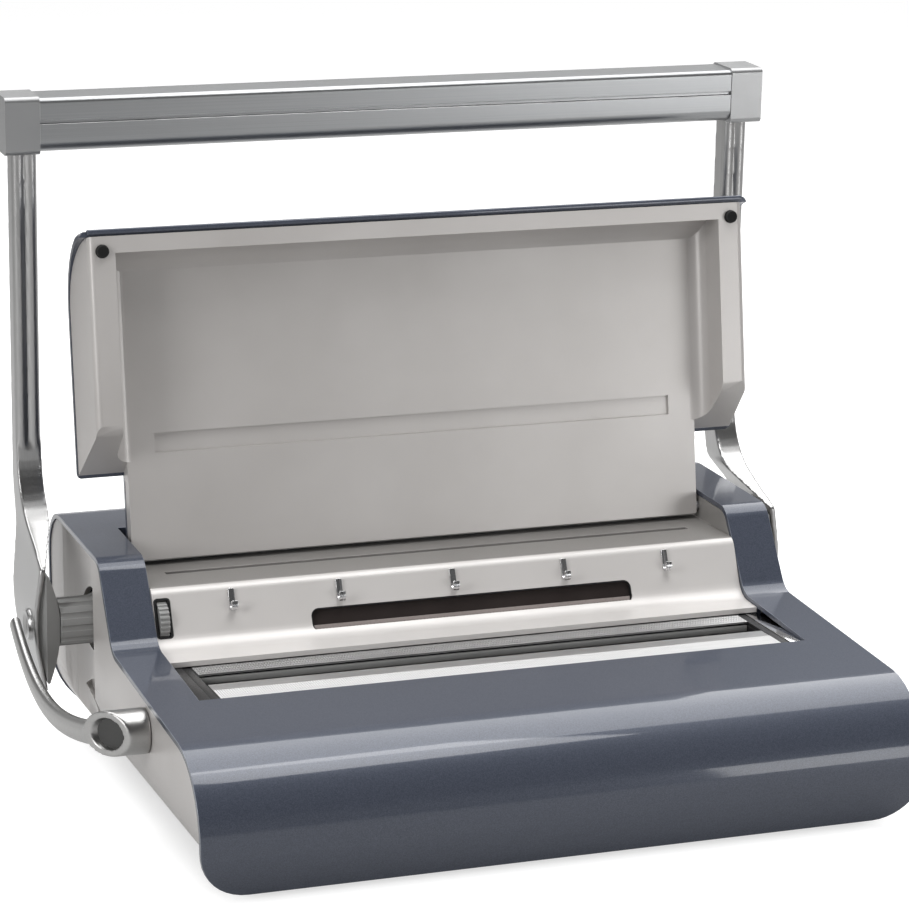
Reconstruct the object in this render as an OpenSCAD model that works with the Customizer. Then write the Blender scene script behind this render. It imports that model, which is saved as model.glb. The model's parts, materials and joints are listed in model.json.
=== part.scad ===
// Desk machine that punches a row of holes in paper and closes wire combs.
// Millimetres, +Z up, +X to the operator's right, operator at -Y.
// Lengths that end in _f run back from the nose of the shell, those that end in _z up from the desk.

/* [Body] */
// Width over the top shell
body_w = 406; // [390:1:490]
// Depth over the shell, front to back
body_d = 344; // [340:1:415]
// Height of the rear edge of the shoulders
shoulder_h = 135; // [128:1:165]
// Height of the deck where it meets the risers
deck_h = 86; // [80:1:92]
// Fall of the deck towards the nose in degrees
deck_fall = 3.75; // [2:0.25:5]
// Radius of the nose
nose_r = 45; // [38:1:48]
// Lean of the front face in degrees
nose_lean = 20; // [14:1:24]
// Set-back of the front bottom edge behind the nose
nose_tuck = 9; // [6:0.5:12]
// Foot of the risers, from the nose
riser_foot_f = 185; // [180:1:190]
// Top of the risers, from the nose
riser_top_f = 215; // [210:1:220]
// Rise of the shoulders from their front corner to the rear
shoulder_rise = 4; // [2:0.5:6]
// Radius where the deck turns up
riser_foot_r = 15; // [8:1:18]
// Radius of the shoulder's front corner
riser_top_r = 14; // [8:1:18]
// Radius of the rear top edge
rear_r = 30; // [18:1:36]
// Width of each shoulder
shoulder_w = 26.5; // [24:0.5:32]
// Radius along the bottom of the sides
side_r = 27; // [18:1:30]
// Thickness of the top shell
shell_t = 3; // [2:0.25:4]
// Thickness of the bay's side lips
lip_t = 3; // [2:0.25:4]
// Depth of the bay's side lips
lip_deep = 18; // [16:0.5:18.5]
// Rear edge of the bay, from the nose
bay_rear_f = 277; // [274:1:284]

/* [Cheeks] */
// Radius along the bottom of the cheeks
cheek_r = 44; // [36:1:46]
// Thickness of the side cheeks
cheek_t = 3.5; // [2.5:0.25:5]
// Set-back of a cheek inside the shell's edge
cheek_recess = 1; // [0.5:0.25:2]
// Depth of the upright scoop round the hub
scoop_deep = 8; // [4:0.5:9]
// Width of the upright scoop
scoop_w = 74; // [60:1:90]
// Diameter of the hub opening
hub_hole_d = 37; // [32:0.5:40]
// Length of the leaf-shaped grip
grip_l = 68; // [50:1:80]
// Width of the leaf-shaped grip
grip_w = 17; // [12:0.5:18]
// Depth of the leaf-shaped grip
grip_deep = 9; // [6:0.5:11]
// Middle of the grip, from the nose
grip_f = 252; // [250:1:275]

/* [Wire slot] */
// Set-back of the jaws' ends inside the bay
jaw_inset = 13; // [12:0.5:16]
// Width of the black end blocks
end_w = 5; // [4:0.5:7]
// Front edge of the slot, from the nose
slot_front_f = 100; // [98:0.5:101]
// Rear edge of the slot, from the nose
slot_rear_f = 166; // [163:0.5:169]
// Depth of the jaws below the deck's rear height
jaw_drop = 10; // [8:0.5:12]
// Thickness of the closer bar and the anvil bar
jaw_t = 4; // [3:0.25:5]
// Depth of the closer bar, front to back
closer_w = 31; // [30:0.5:33]
// Gap between the open jaws
jaw_gap = 20; // [18:0.5:21]
// Depth of the anvil bar, front to back
anvil_w = 14; // [11:0.5:15]

/* [Punch cover] */
// Thickness of the cover
cover_t = 3; // [2:0.25:4]
// Slope of the cover's face in degrees
cover_slope = 67; // [60:1:72]
// Foot of the slope, from the nose
cover_foot_f = 188.3; // [186:0.1:190]
// Depth of the cover's foot below the deck's rear height
cover_sink = 2.5; // [1.5:0.25:4]
// Radius of the cover's foot
cover_foot_r = 14; // [10:0.5:18]
// Radius of the ledge's front edge
ledge_r = 7; // [5:0.5:8]
// Depth of the ledge below the shoulders
ledge_drop = 19.5; // [18:0.5:22]
// Width of the paper throat's mouth
throat_w = 5; // [4.6:0.1:7]
// Middle of the throat, from the nose
throat_f = 232.8; // [230:0.2:235]
// Length of the throat
throat_l = 320; // [306:1:330]
// Width of the view window
window_w = 194; // [120:1:220]
// Height of the view window along the slope
window_h = 13.5; // [8:0.5:14]
// Middle of the window, to the right of the centre
window_x = 11; // [0:1:20]
// Distance of the window's middle up the slope from its foot
window_up = 9; // [8:0.5:11]
// Distance of the inner pair of hooks from the middle one
hook_near_x = 68; // [50:1:80]
// Distance of the outer pair of hooks from the middle one
hook_far_x = 131; // [110:1:140]
// Length of the hooks down the slope
hook_l = 13; // [10:0.5:15]
// Width of the hooks
hook_w = 3.6; // [3:0.2:6]
// Thickness of the hooks
hook_t = 1.4; // [1:0.1:2]

/* [Lid] */
// Set-back of the lid's sides inside the body's sides
lid_set = 1.5; // [0.5:0.25:4]
// Lean of the open lid in degrees
lid_lean = 6.7; // [4:0.1:8]
// Length of the lid above its hinge
lid_l = 186.5; // [180:0.5:188]
// Hinge axis, from the nose
hinge_f = 256; // [255:0.5:257]
// Depth of the hinge axis below the shoulders
hinge_drop = 12.5; // [12:0.25:13]
// Radius of the curve at the top of the lid's back
lid_top_r = 46; // [40:1:50]
// Distance of the shell's front edge in front of the hinge plane
lid_front = 29.5; // [26:0.5:31]
// Depth of the side lobes in front of the hinge plane
lobe_deep = 32; // [29:0.5:32.5]
// Width of a lobe's front face
lobe_face_w = 15; // [11:0.5:18]
// Set-back of the lobe's front edge inside the lid's width
lobe_set = 4.5; // [3:0.5:8]
// Radius between a lobe and the liner's face
lobe_cove_r = 10; // [6:0.5:14]
// Height of the lobes' lower faces above the hinge, in the hinge plane
lobe_low = 49.8; // [49.5:0.1:54]
// Slant of the lobes' lower faces in degrees
lobe_slant = 36; // [34:0.5:38]
// Height of the top rim
rim_h = 10; // [6:0.5:14]
// Thickness of the lid's dark shell
lid_cover_t = 3; // [2:0.25:4]
// Distance of the lid's back behind the hinge plane
lid_back = 8; // [7:0.25:9]
// Distance of the liner's face in front of the hinge plane
liner_front = 4; // [3.5:0.1:4.2]
// Depth of the lid's neck below its hinge
neck_low = 4; // [3.5:0.1:4.5]
// Corner radius of the lid
lid_r = 5; // [3:0.5:10]
// Half the length of the liner's groove
groove_half = 158; // [120:1:165]
// Height of the liner's groove above the hinge
groove_low = 57; // [50:0.5:65]
// Height of the liner's groove
groove_h = 11.5; // [8:0.5:14]
// Height of the rubber bumpers' middle above the hinge
bumper_up = 174.5; // [168:0.5:176]
// Diameter of the rubber bumpers
bumper_d = 8; // [6:0.5:10]
// Height of the rubber bumpers
bumper_h = 3; // [2:0.25:3.5]
// Diameter of the hinge pins
hinge_pin_d = 5; // [4:0.5:5.5]

/* [Handle] */
// Handle axis, from the nose
hub_f = 271; // [268:0.5:274]
// Depth of the handle axis below the shoulders
hub_drop = 53; // [50:0.5:56]
// Forward lean of the arms in degrees
arm_lean = 3.3; // [0:0.1:5]
// Distance of the arms behind the axis
arm_back = 55.4; // [50:0.2:60]
// Height of the grip bar's middle above the axis
bar_up = 280; // [270:1:300]
// Height of the grip bar
bar_h = 31; // [24:1:36]
// Depth of the grip bar
bar_d = 29; // [22:1:32]
// Space between the machine's side and an arm
arm_clear = 8.5; // [7.5:0.25:14]
// Width of an arm
arm_w = 14.7; // [12:0.1:17]
// Depth of an arm, front to back
arm_d = 14; // [12:0.5:17]
// Width of an end block
block_w = 19.8; // [17:0.2:24]
// Height that an end block adds above and below the bar
block_over = 1; // [0.5:0.25:3]
// Bulge of the hub plates outside the arms
hub_bulge = 4.9; // [4:0.1:6]
// Thickness of the hub plates
hub_t = 2.6; // [2:0.1:3.5]
// Reach of the hub plates in front of the axis
hub_front = 15; // [13:0.5:18]
// Height of the lens-shaped hub covers
lens_h = 70.4; // [64:0.2:72]
// Depth of the lens-shaped hub covers behind the axis
lens_rear = 20; // [14:1:24]
// Width of the groove along the grip bar
groove_w = 2; // [1:0.1:3]
// Diameter of the fluted collars
collar_d = 28; // [24:0.5:30]
// Diameter of the drive shaft
shaft_d = 12; // [10:0.5:13]
// Diameter of the hub bolts' heads
bolt_head_d = 19; // [14:0.5:20]

/* [Wire lever] */
// Lever axis, from the nose
lever_f = 114; // [112:0.5:115]
// Depth of the lever axis below the deck's rear height
lever_drop = 23.5; // [22:0.5:25]
// Diameter of the lever's barrel
barrel_d = 25; // [20:0.5:28]
// Length of the lever's barrel
barrel_l = 21.8; // [21:0.2:24]
// Diameter of the lever shaft
lever_shaft_d = 10; // [8:0.5:12]
// Reach of the lever behind its axis
lever_reach = 155; // [130:1:165]
// Sag of the lever below its axis half way along
lever_sag = 8; // [4:0.5:12]
// Rise of the lever's tip above its axis
lever_rise = 22; // [10:0.5:26]
// Outward sweep of the lever from barrel to tip
lever_out = 15.5; // [15:0.5:18]
// Height of the lever's arm at the barrel
lever_w = 14; // [11:0.5:15]
// Thickness of the lever's arm at the barrel
lever_thick = 10; // [7:0.5:11]
// Turn of the barrel's slanted end in degrees
ring_turn = 38; // [30:1:42]
// Diameter of the dish in the barrel's end
cap_d = 17; // [14:0.5:19]
// Depth of the dish in the barrel's end
cap_deep = 5; // [3:0.5:6]

/* [Punch] */
// Number of punch pins
pin_count = 34; // [20:1:34]
// Spacing of the punch pins
pin_pitch = 8.467; // [8.467:0.001:8.6]
// Diameter of the punch pins
pin_d = 4; // [3:0.25:5]
// Offset of the paper's middle to the right
paper_x = -7; // [-10:0.5:0]
// Long edge of the paper
paper_l = 297; // [279:1:297]
// Distance of the racks from the middle
rack_x = 120; // [100:1:130]
// Width of the paper gap between the die blocks
paper_gap = 2.4; // [1.6:0.1:3]
// Depth of the front die block
die_d = 12.6; // [9:0.2:13]
// Depth of the rear guide block
guide_d = 9.5; // [7:0.25:10]
// Height of the die blocks
die_h = 28; // [24:0.5:30]
// Depth of the pins below the die blocks' top
pin_drop = 10.2; // [9:0.2:12]
// Height of the pins above the paper's stop
hole_margin = 5.5; // [4:0.25:6.5]
// Teeth of the pinions
pinion_teeth = 16; // [16:2:18]
// Module of the pinions and racks
gear_module = 1; // [0.9:0.05:1]
// Face width of the pinions
pinion_w = 12; // [8:0.5:16]
// Diameter of the carrier's guide rods
rod_d = 8; // [6:0.5:10]

/* [Edge guide] */
// Diameter of the guide wheel
wheel_d = 22; // [20:0.5:22]
// Width of the guide wheel
wheel_w = 5.4; // [4.5:0.1:6]
// Axis of the guide wheel, from the nose
wheel_f = 201; // [200.6:0.1:202]
// Depth of the wheel's axis below the die blocks' top
wheel_drop = 15; // [14:0.2:16]
// Distance of the wheel's slot from the cover's end
wheel_inset = 1.2; // [1:0.1:3]
// Gap round the guide wheel
wheel_gap = 1.2; // [0.8:0.1:1.5]
// Diameter of the guide screw
screw_d = 6; // [4:0.5:8]
// Thickness of the guide's fence
fence_t = 3; // [2:0.25:4]

/* [Chip drawer] */
// Front edge of the drawer, from the nose
drawer_f = 206; // [200:1:212]
// Depth of the drawer, front to back
drawer_d = 120; // [100:1:124]
// Height of the drawer's front
drawer_h = 33; // [26:0.5:34]
// Thickness of the drawer's walls
drawer_t = 2; // [1.5:0.25:3]
// Length of the drawer's tray
drawer_l = 355; // [300:1:360]

/* [Base] */
// Height of the rubber feet
foot_h = 3; // [2:0.25:5]
// Diameter of the rubber feet
foot_d = 18; // [12:0.5:24]
// Thickness of the base pan
pan_t = 3; // [2:0.25:4]
// Thickness of the steel side plates
plate_t = 3; // [2:0.25:4]
// Distance of the side plates inside the machine's side
plate_in = 18; // [16:0.5:20]
// Front edge of the side plates, from the nose
plate_front_f = 100; // [98:1:104]

/* [Clearances] */
// Gap between pieces that are fitted together
fit_gap = 0.3; // [0.2:0.05:0.5]
// Radial gap of a shaft, pin or rod in its bore
run_gap = 0.05; // [0.03:0.01:0.1]
// Gap round covers and doors that move
door_gap = 0.6; // [0.4:0.1:1]

/* [Hidden] */
$fn = 64;
arc_steps = 10;
over = 1;
slate = [0.29, 0.32, 0.38];
warm_grey = [0.78, 0.77, 0.75];
dark_grey = [0.36, 0.36, 0.36];
silver = [0.75, 0.75, 0.76];
satin = [0.62, 0.63, 0.64];
steel = [0.66, 0.67, 0.68];
chrome = [0.85, 0.85, 0.86];
black = [0.06, 0.06, 0.07];
smoke = [0.16, 0.15, 0.15];
rubber = [0.08, 0.08, 0.08];

half_w = body_w / 2;
bay_half = half_w - shoulder_w;
plate_x = half_w - plate_in;
inner_x = plate_x - plate_t;
hub_z = shoulder_h - hub_drop;
hinge_z = shoulder_h - hinge_drop;
ledge_z = shoulder_h - ledge_drop;
lever_z = deck_h - lever_drop;
jaw_z = deck_h - jaw_drop;
jaw_under = jaw_z - jaw_t;
pan_z = foot_h + pan_t;

// Geometry helpers

function fy(f) = f - body_d / 2;
function unit(v) = v / norm(v);
function flat(p) = [p[0], p[1]];
function right_normal(a, b) = let (e = unit(flat(b) - flat(a))) [e[1], -e[0]];
function turn(a, b, c) = cross(flat(b) - flat(a), flat(c) - flat(b));

// Points of the arc that replaces corner b of radius r between a and c
function corner_arc(a, b, c, r) =
    let (
        u = unit(a - b),
        w = unit(c - b),
        half = acos(u * w) / 2,
        middle = b + unit(u + w) * r / sin(half),
        p = b + u * r / tan(half) - middle,
        q = b + w * r / tan(half) - middle,
        start = atan2(p[1], p[0]),
        sweep = (atan2(q[1], q[0]) - start + 540) % 360 - 180
    )
    [for (i = [0 : arc_steps])
        let (angle = start + sweep * i / arc_steps)
        middle + r * [cos(angle), sin(angle)]];

// Closed outline through corners [x, y, radius]
function rounded(points) =
    let (n = len(points))
    [for (i = [0 : n - 1])
        let (b = points[i])
        each b[2] > 0
            ? corner_arc(flat(points[(i + n - 1) % n]), flat(b), flat(points[(i + 1) % n]), b[2])
            : [flat(b)]];

// Open path moved d to the right of its direction, with radii to match
function shifted(path, d) =
    let (n = len(path))
    [for (i = [0 : n - 1])
        let (
            inner = i > 0 && i < n - 1,
            before = right_normal(path[max(i - 1, 0)], path[max(i, 1)]),
            after = right_normal(path[min(i, n - 2)], path[min(i + 1, n - 1)]),
            p = flat(path[i]) + (before + after) * d / (1 + before * after),
            bend = inner ? turn(path[i - 1], path[i], path[i + 1]) : 0,
            r = path[i][2] + (bend > 0 ? d : -d)
        )
        [p[0], p[1], path[i][2] > 0 ? max(r, 0.5) : 0]];

function backwards(list) = [for (i = [len(list) - 1 : -1 : 0]) list[i]];
// Outline of a sheet of thickness t whose outer face follows the path
function sheet(path, t) = rounded(concat(path, backwards(shifted(path, t))));

// Extrudes a side view, given from the nose and the desk, from x0 to x1
module across(x0, x1) {
    translate([x0, -body_d / 2, 0]) rotate([90, 0, 90]) linear_extrude(x1 - x0) children();
}

// Block given by its limits in x, from the nose and from the desk
module block(x0, x1, f0, f1, z0, z1) {
    translate([x0, fy(f0), z0]) cube([x1 - x0, f1 - f0, z1 - z0]);
}

// Round bar along X
module bar_x(x0, x1, f, z, r) {
    translate([x0, fy(f), z]) rotate([0, 90, 0]) cylinder(h = x1 - x0, r = r);
}

// Round bar along Y
module bar_y(x, f0, f1, z, r) {
    translate([x, fy(f0), z]) rotate([-90, 0, 0]) cylinder(h = f1 - f0, r = r);
}

// The same shape on the left and on the right
module both_sides() {
    children();
    mirror([1, 0, 0]) children();
}

// Solid skin through rings of points
module loft(rings) {
    n = len(rings[0]);
    last = len(rings) - 1;
    sides = [for (k = [0 : last - 1], i = [0 : n - 1], half = [0, 1])
        let (a = k * n + i, b = k * n + (i + 1) % n)
        half == 0 ? [a, b, a + n] : [b, b + n, a + n]];
    caps = [for (i = [1 : n - 2], end = [0, 1])
        end == 0 ? [0, i + 1, i] : [last * n, last * n + i, last * n + i + 1]];
    polyhedron(points = [for (ring = rings) each ring], faces = concat(sides, caps));
}

// Shell outline

front_low_f = nose_tuck + foot_h * tan(nose_lean);
deck_run = riser_foot_f - front_low_f;
nose_climb = (deck_h - deck_run * tan(deck_fall)) / (cos(nose_lean) + sin(nose_lean) * tan(deck_fall));
shell_path = [
    [front_low_f, 0, 0],
    [front_low_f - nose_climb * sin(nose_lean), nose_climb * cos(nose_lean), nose_r],
    [riser_foot_f, deck_h, riser_foot_r],
    [riser_top_f, shoulder_h - shoulder_rise, riser_top_r],
    [body_d, shoulder_h, rear_r],
    [body_d, 0, 0]
];

// Height of the deck's face at a distance from the nose
function deck_at(f) = deck_h - (riser_foot_f - f) * tan(deck_fall);

// Everything inside the machine's front elevation of bottom radius r, drawn in by the given inset
module envelope(inset, r) {
    w = half_w - inset;
    z = foot_h + inset;
    top = shoulder_h + over;
    translate([0, body_d, 0]) rotate([90, 0, 0]) linear_extrude(2 * body_d)
        polygon(rounded([[-w, z, r - inset], [w, z, r - inset], [w, top, 0], [-w, top, 0]]));
}

// Body pieces

wall_f = riser_top_f - shell_t - 8;

// Light inner wall of a shoulder, from the ledge up to the shell, grown by the given gap
module bay_wall(grow) {
    intersection() {
        across(bay_half, bay_half + lip_t)
            polygon(sheet(shifted(shell_path, shell_t + fit_gap - grow), lip_deep));
        block(bay_half, bay_half + lip_t, wall_f - grow, bay_rear_f, ledge_z - cover_t - grow, shoulder_h);
    }
}

module bay_lip() {
    difference() {
        intersection() {
            across(bay_half, bay_half + lip_t) polygon(sheet(shell_path, lip_deep));
            block(bay_half, bay_half + lip_t, end_rear_f + fit_gap, bay_rear_f + lip_t, foot_h, shoulder_h);
        }
        bay_wall(fit_gap);
    }
}

// Front elevation of the shell, whose rear wall rounds off with the cheeks
module shell_sides() {
    intersection() {
        envelope(0, side_r);
        block(-half_w, half_w, -body_d, riser_foot_f, 0, shoulder_h);
    }
    intersection() {
        envelope(0, cheek_r);
        block(-half_w, half_w, riser_foot_f, 2 * body_d, 0, shoulder_h);
    }
}

module top_shell() {
    color(slate) intersection() {
        difference() {
            union() {
                difference() {
                    across(-half_w, half_w) polygon(sheet(shell_path, shell_t));
                    block(-bay_half, bay_half, slot_front_f, bay_rear_f, foot_h, shoulder_h + over);
                }
                both_sides() bay_lip();
                intersection() {
                    across(-bay_half, bay_half) polygon(sheet(shell_path, lip_deep));
                    block(-bay_half, bay_half, bay_rear_f, bay_rear_f + lip_t, foot_h, shoulder_h);
                }
            }
            bar_x(-half_w, 0, wheel_f, wheel_z, screw_d / 2 + run_gap);
        }
        shell_sides();
    }
}

cheek_face = half_w - cheek_recess;
scoop_r = (pow(scoop_w / 2, 2) + pow(scoop_deep, 2)) / (2 * scoop_deep);
scoop_x = cheek_face - scoop_deep + scoop_r;
cheek_outline = rounded(shifted(shell_path, shell_t + fit_gap));
leaf_r = (pow(grip_l / 2, 2) + pow(grip_w / 2, 2)) / (2 * grip_w / 2);
grip_tilt = 12;
drawer_grip_tilt = 45;

// Leaf-shaped plug, grown by the wall, that sinks square into the rounded lower edge at a tilt
module leaf(tilt, grow, deep, proud) {
    r = cheek_r - cheek_recess;
    x = half_w - cheek_r + r * cos(tilt);
    z = foot_h + cheek_r - r * sin(tilt);
    translate([x, fy(grip_f), z]) rotate([0, 90 + tilt, 0]) translate([0, 0, -deep])
        intersection_for (side = [-1, 1])
            translate([side * (leaf_r - grip_w / 2), 0, 0]) cylinder(h = deep + proud, r = leaf_r + grow);
}

// Side skin on the right with its grip, before any part of it is cut away
module side_skin(tilt) {
    intersection() {
        across(bay_half, cheek_face) polygon(cheek_outline);
        envelope(cheek_recess, cheek_r);
        difference() {
            union() {
                difference() {
                    block(bay_half, half_w, 0, body_d, 0, shoulder_h);
                    envelope(cheek_recess + cheek_t, cheek_r);
                }
                translate([scoop_x, fy(hub_f), 0]) cylinder(h = shoulder_h, r = scoop_r + cheek_t);
                leaf(tilt, cheek_t, grip_deep + cheek_t, over);
            }
            translate([scoop_x, fy(hub_f), 0]) cylinder(h = shoulder_h, r = scoop_r);
            leaf(tilt, 0, grip_deep, side_r);
        }
    }
}

module hub_opening() {
    bar_x(bay_half, half_w, hub_f, hub_z, hub_hole_d / 2);
}

module left_cheek() {
    color(warm_grey) mirror([1, 0, 0]) difference() {
        side_skin(grip_tilt);
        hub_opening();
        bar_x(bay_half, half_w, lever_f, lever_z, lever_shaft_d / 2 + door_gap);
    }
}

module drawer_mask(grow) {
    block(bay_half - over, half_w, drawer_f - grow, drawer_f + drawer_d + grow,
        0, foot_h + drawer_h + grow);
}

module right_cheek() {
    color(warm_grey) difference() {
        side_skin(drawer_grip_tilt);
        hub_opening();
        drawer_mask(door_gap);
    }
}

pan_front_f = nose_tuck + shell_t / cos(nose_lean) + fit_gap;
pan_rear_f = body_d - shell_t - fit_gap;
pan_half = bay_half - fit_gap;
foot_x = pan_half - foot_d;
foot_places = [for (x = [-foot_x, foot_x], f = [pan_front_f + 2 * foot_d, pan_rear_f - 2 * foot_d]) [x, f]];
pan_screw_d = 4;
pan_screw_head_d = 7;
pan_screw_head_h = 1.6;
flange_w = 17;
flange_x = inner_x - flange_w / 2;
plate_mid_f = drawer_f - 10;
plate_rear_f = hub_f + 29;
screw_places = [for (x = [-flange_x, flange_x], f = [plate_front_f + 15, plate_mid_f - 15]) [x, f]];

module base_pan() {
    color(dark_grey) difference() {
        block(-pan_half, pan_half, pan_front_f, pan_rear_f, foot_h, pan_z);
        for (p = screw_places)
            translate([p[0], fy(p[1]), 0]) cylinder(h = pan_z + over, d = pan_screw_d + 2 * run_gap);
    }
}

module rubber_feet() {
    color(rubber) for (p = foot_places)
        translate([p[0], fy(p[1]), 0]) cylinder(h = foot_h, d1 = foot_d - foot_h, d2 = foot_d);
}

module base_screws() {
    color(steel) for (p = screw_places) translate([p[0], fy(p[1]), foot_h]) {
        translate([0, 0, -pan_screw_head_h]) cylinder(h = pan_screw_head_h, d = pan_screw_head_d);
        cylinder(h = plate_low + plate_t, d = pan_screw_d);
    }
}

// Frame

bush_wall = 4;
bush_w = plate_t + 4;
skin_r = cheek_r - cheek_recess - cheek_t;
skin_rise = skin_r - sqrt(pow(skin_r, 2) - pow(plate_x - half_w + cheek_r, 2));
plate_low = foot_h + cheek_recess + cheek_t + skin_rise + fit_gap;
plate_foot_z = foot_h + drawer_h + 8;
die_top = ledge_z - cover_t - fit_gap;
plate_path = [
    [plate_front_f, plate_low, 2],
    [plate_mid_f, plate_low, 2],
    [plate_mid_f, plate_foot_z, 8],
    [plate_rear_f, plate_foot_z, 8],
    [plate_rear_f, die_top, 12],
    [riser_top_f + shell_t, die_top, 6],
    [plate_mid_f, jaw_z, 12],
    [plate_front_f, jaw_under - shell_t, 6]
];
wheel_z = die_top - wheel_drop;

module side_plate() {
    difference() {
        union() {
            across(inner_x, plate_x) polygon(rounded(plate_path));
            block(inner_x - flange_w, inner_x, plate_front_f, plate_mid_f, plate_low, plate_low + plate_t);
            block(inner_x - flange_w, pan_half, plate_front_f, plate_mid_f, pan_z, plate_low + plate_t);
        }
        bar_x(0, half_w, hub_f, hub_z, shaft_d / 2 + bush_wall + run_gap);
        bar_x(0, half_w, lever_f, lever_z, lever_shaft_d / 2 + bush_wall + run_gap);
        bar_x(0, half_w, wheel_f, wheel_z, screw_d / 2 + run_gap);
        for (p = screw_places)
            translate([p[0], fy(p[1]), 0])
                cylinder(h = plate_low + plate_t + over, d = pan_screw_d + 2 * run_gap);
    }
}

module left_side_plate() { color(steel) mirror([1, 0, 0]) side_plate(); }

module right_side_plate() { color(steel) side_plate(); }

module bush(f, z, bore_d) {
    difference() {
        bar_x(inner_x - bush_w + plate_t, plate_x, f, z, bore_d / 2 + bush_wall);
        bar_x(0, half_w, f, z, bore_d / 2 + run_gap);
    }
}

module shaft_bushes() { color(dark_grey) both_sides() bush(hub_f, hub_z, shaft_d); }

module lever_bushes() { color(dark_grey) both_sides() bush(lever_f, lever_z, lever_shaft_d); }

// Punch cover, ledge and what they hold

cover_half = bay_half - fit_gap;
cover_foot_z = deck_h - cover_sink;
slope_run = (ledge_z - cover_foot_z) / tan(cover_slope);
ledge_front_f = cover_foot_f + slope_run;
throat_front_f = throat_f - throat_w / 2;
throat_rear_f = throat_f + throat_w / 2;
cover_path = [
    [slot_rear_f, cover_foot_z - 1, 0],
    [cover_foot_f, cover_foot_z, cover_foot_r],
    [ledge_front_f, ledge_z, ledge_r],
    [throat_front_f, ledge_z, 0]
];
wheel_slot_w = wheel_w + 2 * wheel_gap;
wheel_x = cover_half - wheel_inset - wheel_slot_w / 2;
window_frame = 2;

// Puts a flat piece on the cover's slope: x across, y up the slope, z out of it
module on_slope() {
    translate([0, fy(cover_foot_f), cover_foot_z]) rotate([cover_slope, 0, 0]) children();
}

module window_shape(grow, deep) {
    r = window_h / 3;
    w = window_w / 2 + grow;
    h = window_h / 2 + grow;
    translate([window_x, window_up, -deep]) linear_extrude(deep + over)
        polygon(rounded([[-w, -h, r], [w, -h, r], [w, h, r], [-w, h, r]]));
}

module punch_cover() {
    color(warm_grey) difference() {
        across(-cover_half, cover_half) polygon(sheet(cover_path, cover_t));
        on_slope() window_shape(0, 2 * cover_t);
        on_slope() translate([0, 0, -cover_t / 2]) window_shape(window_frame, cover_t);
        bar_x(-wheel_x - wheel_slot_w / 2, -wheel_x + wheel_slot_w / 2,
            wheel_f, wheel_z, wheel_d / 2 + wheel_gap);
    }
}

module view_window() {
    color(smoke) on_slope() translate([0, 0, -cover_t / 2 - over]) difference() {
        window_shape(window_frame - run_gap, cover_t / 2 - run_gap);
        translate([0, 0, over]) window_shape(window_h, over);
    }
}

module throat_ledge() {
    end_x = cover_half - throat_l / 2;
    wall_half = bay_half + lip_t;
    color(warm_grey) difference() {
        union() {
            block(-wall_half, wall_half, throat_rear_f, bay_rear_f - fit_gap, ledge_z - cover_t, ledge_z);
            both_sides() {
                block(cover_half - end_x, cover_half, throat_front_f, throat_rear_f,
                    ledge_z - cover_t, ledge_z);
                intersection() {
                    bay_wall(0);
                    block(0, half_w, 0, bay_rear_f - fit_gap, 0, shoulder_h);
                }
            }
        }
        bar_x(-half_w, half_w, hinge_f, hinge_z, hinge_pin_d / 2 + run_gap);
    }
}

hook_r = 2;
hook_tip = 1.6;

// Flat J-shaped hook that hangs on the slope from the ledge's front edge
module hook(x) {
    top = (ledge_z - cover_foot_z) / sin(cover_slope) - ledge_r / 2;
    low = top - hook_l + hook_r + hook_t;
    translate([x, 0, 0]) on_slope() translate([0, 0, run_gap]) {
        translate([-hook_w / 2, low, 0]) cube([hook_w, top - low, hook_t]);
        translate([0, low, hook_t + hook_r]) rotate([0, 90, 0]) rotate([0, 0, 180])
            rotate_extrude(angle = 180) translate([hook_r, -hook_w / 2]) square([hook_t, hook_w]);
        translate([-hook_w / 2, low, hook_t + 2 * hook_r]) cube([hook_w, hook_tip, hook_t]);
    }
}

module wire_hooks() {
    color(chrome) {
        hook(0);
        for (x = [hook_near_x, hook_far_x]) both_sides() hook(x);
    }
}

// Punch

die_rear_f = throat_f - paper_gap / 2;
guide_front_f = throat_f + paper_gap / 2;
guide_rear_f = guide_front_f + guide_d;
die_front_f = die_rear_f - die_d;
die_low = die_top - die_h;
pin_z = die_top - pin_drop;
paper_stop_z = pin_z - hole_margin;
pinion_r = gear_module * pinion_teeth / 2;
punch_travel = pinion_r * PI * 100 / 180;
carrier_d = 8;
carrier_f = guide_rear_f + punch_travel + over;
carrier_half = inner_x - 12;
rod_x = inner_x - 22;
pin_tip_f = guide_front_f + over;
pin_xs = [for (i = [0 : pin_count - 1]) paper_x + (i - (pin_count - 1) / 2) * pin_pitch];
lead_in = 1.3;
fence_x = paper_x - paper_l / 2 - fence_t / 2;
guide_travel = 3;
notch_half = fence_t / 2 + guide_travel + over;
lug_x = fence_x + notch_half + 5;
lug_w = 5;

module pin_row(f0, f1, r) {
    for (x = pin_xs) bar_y(x, f0, f1, pin_z, r, $fn = 24);
}

module die_block() {
    color(steel) difference() {
        union() {
            block(-inner_x, inner_x, die_front_f, die_rear_f, die_low, paper_stop_z);
            across(-cover_half, cover_half) polygon([
                [die_front_f, die_low],
                [guide_front_f, die_low],
                [guide_front_f, paper_stop_z],
                [die_rear_f, paper_stop_z],
                [die_rear_f, die_top - lead_in],
                [die_rear_f - lead_in, die_top],
                [die_front_f, die_top]
            ]);
            block(lug_x, lug_x + lug_w, wheel_f, die_front_f, wheel_z - screw_d, wheel_z + screw_d);
        }
        pin_row(die_front_f - over, die_rear_f + over, pin_d / 2 + 1.6 * run_gap);
        bar_x(lug_x - over, lug_x + lug_w + over, wheel_f, wheel_z, screw_d / 2 + run_gap);
        block(fence_x - notch_half, fence_x + notch_half, die_front_f - over, die_rear_f + over,
            paper_stop_z - over, die_top + over);
    }
}

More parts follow.
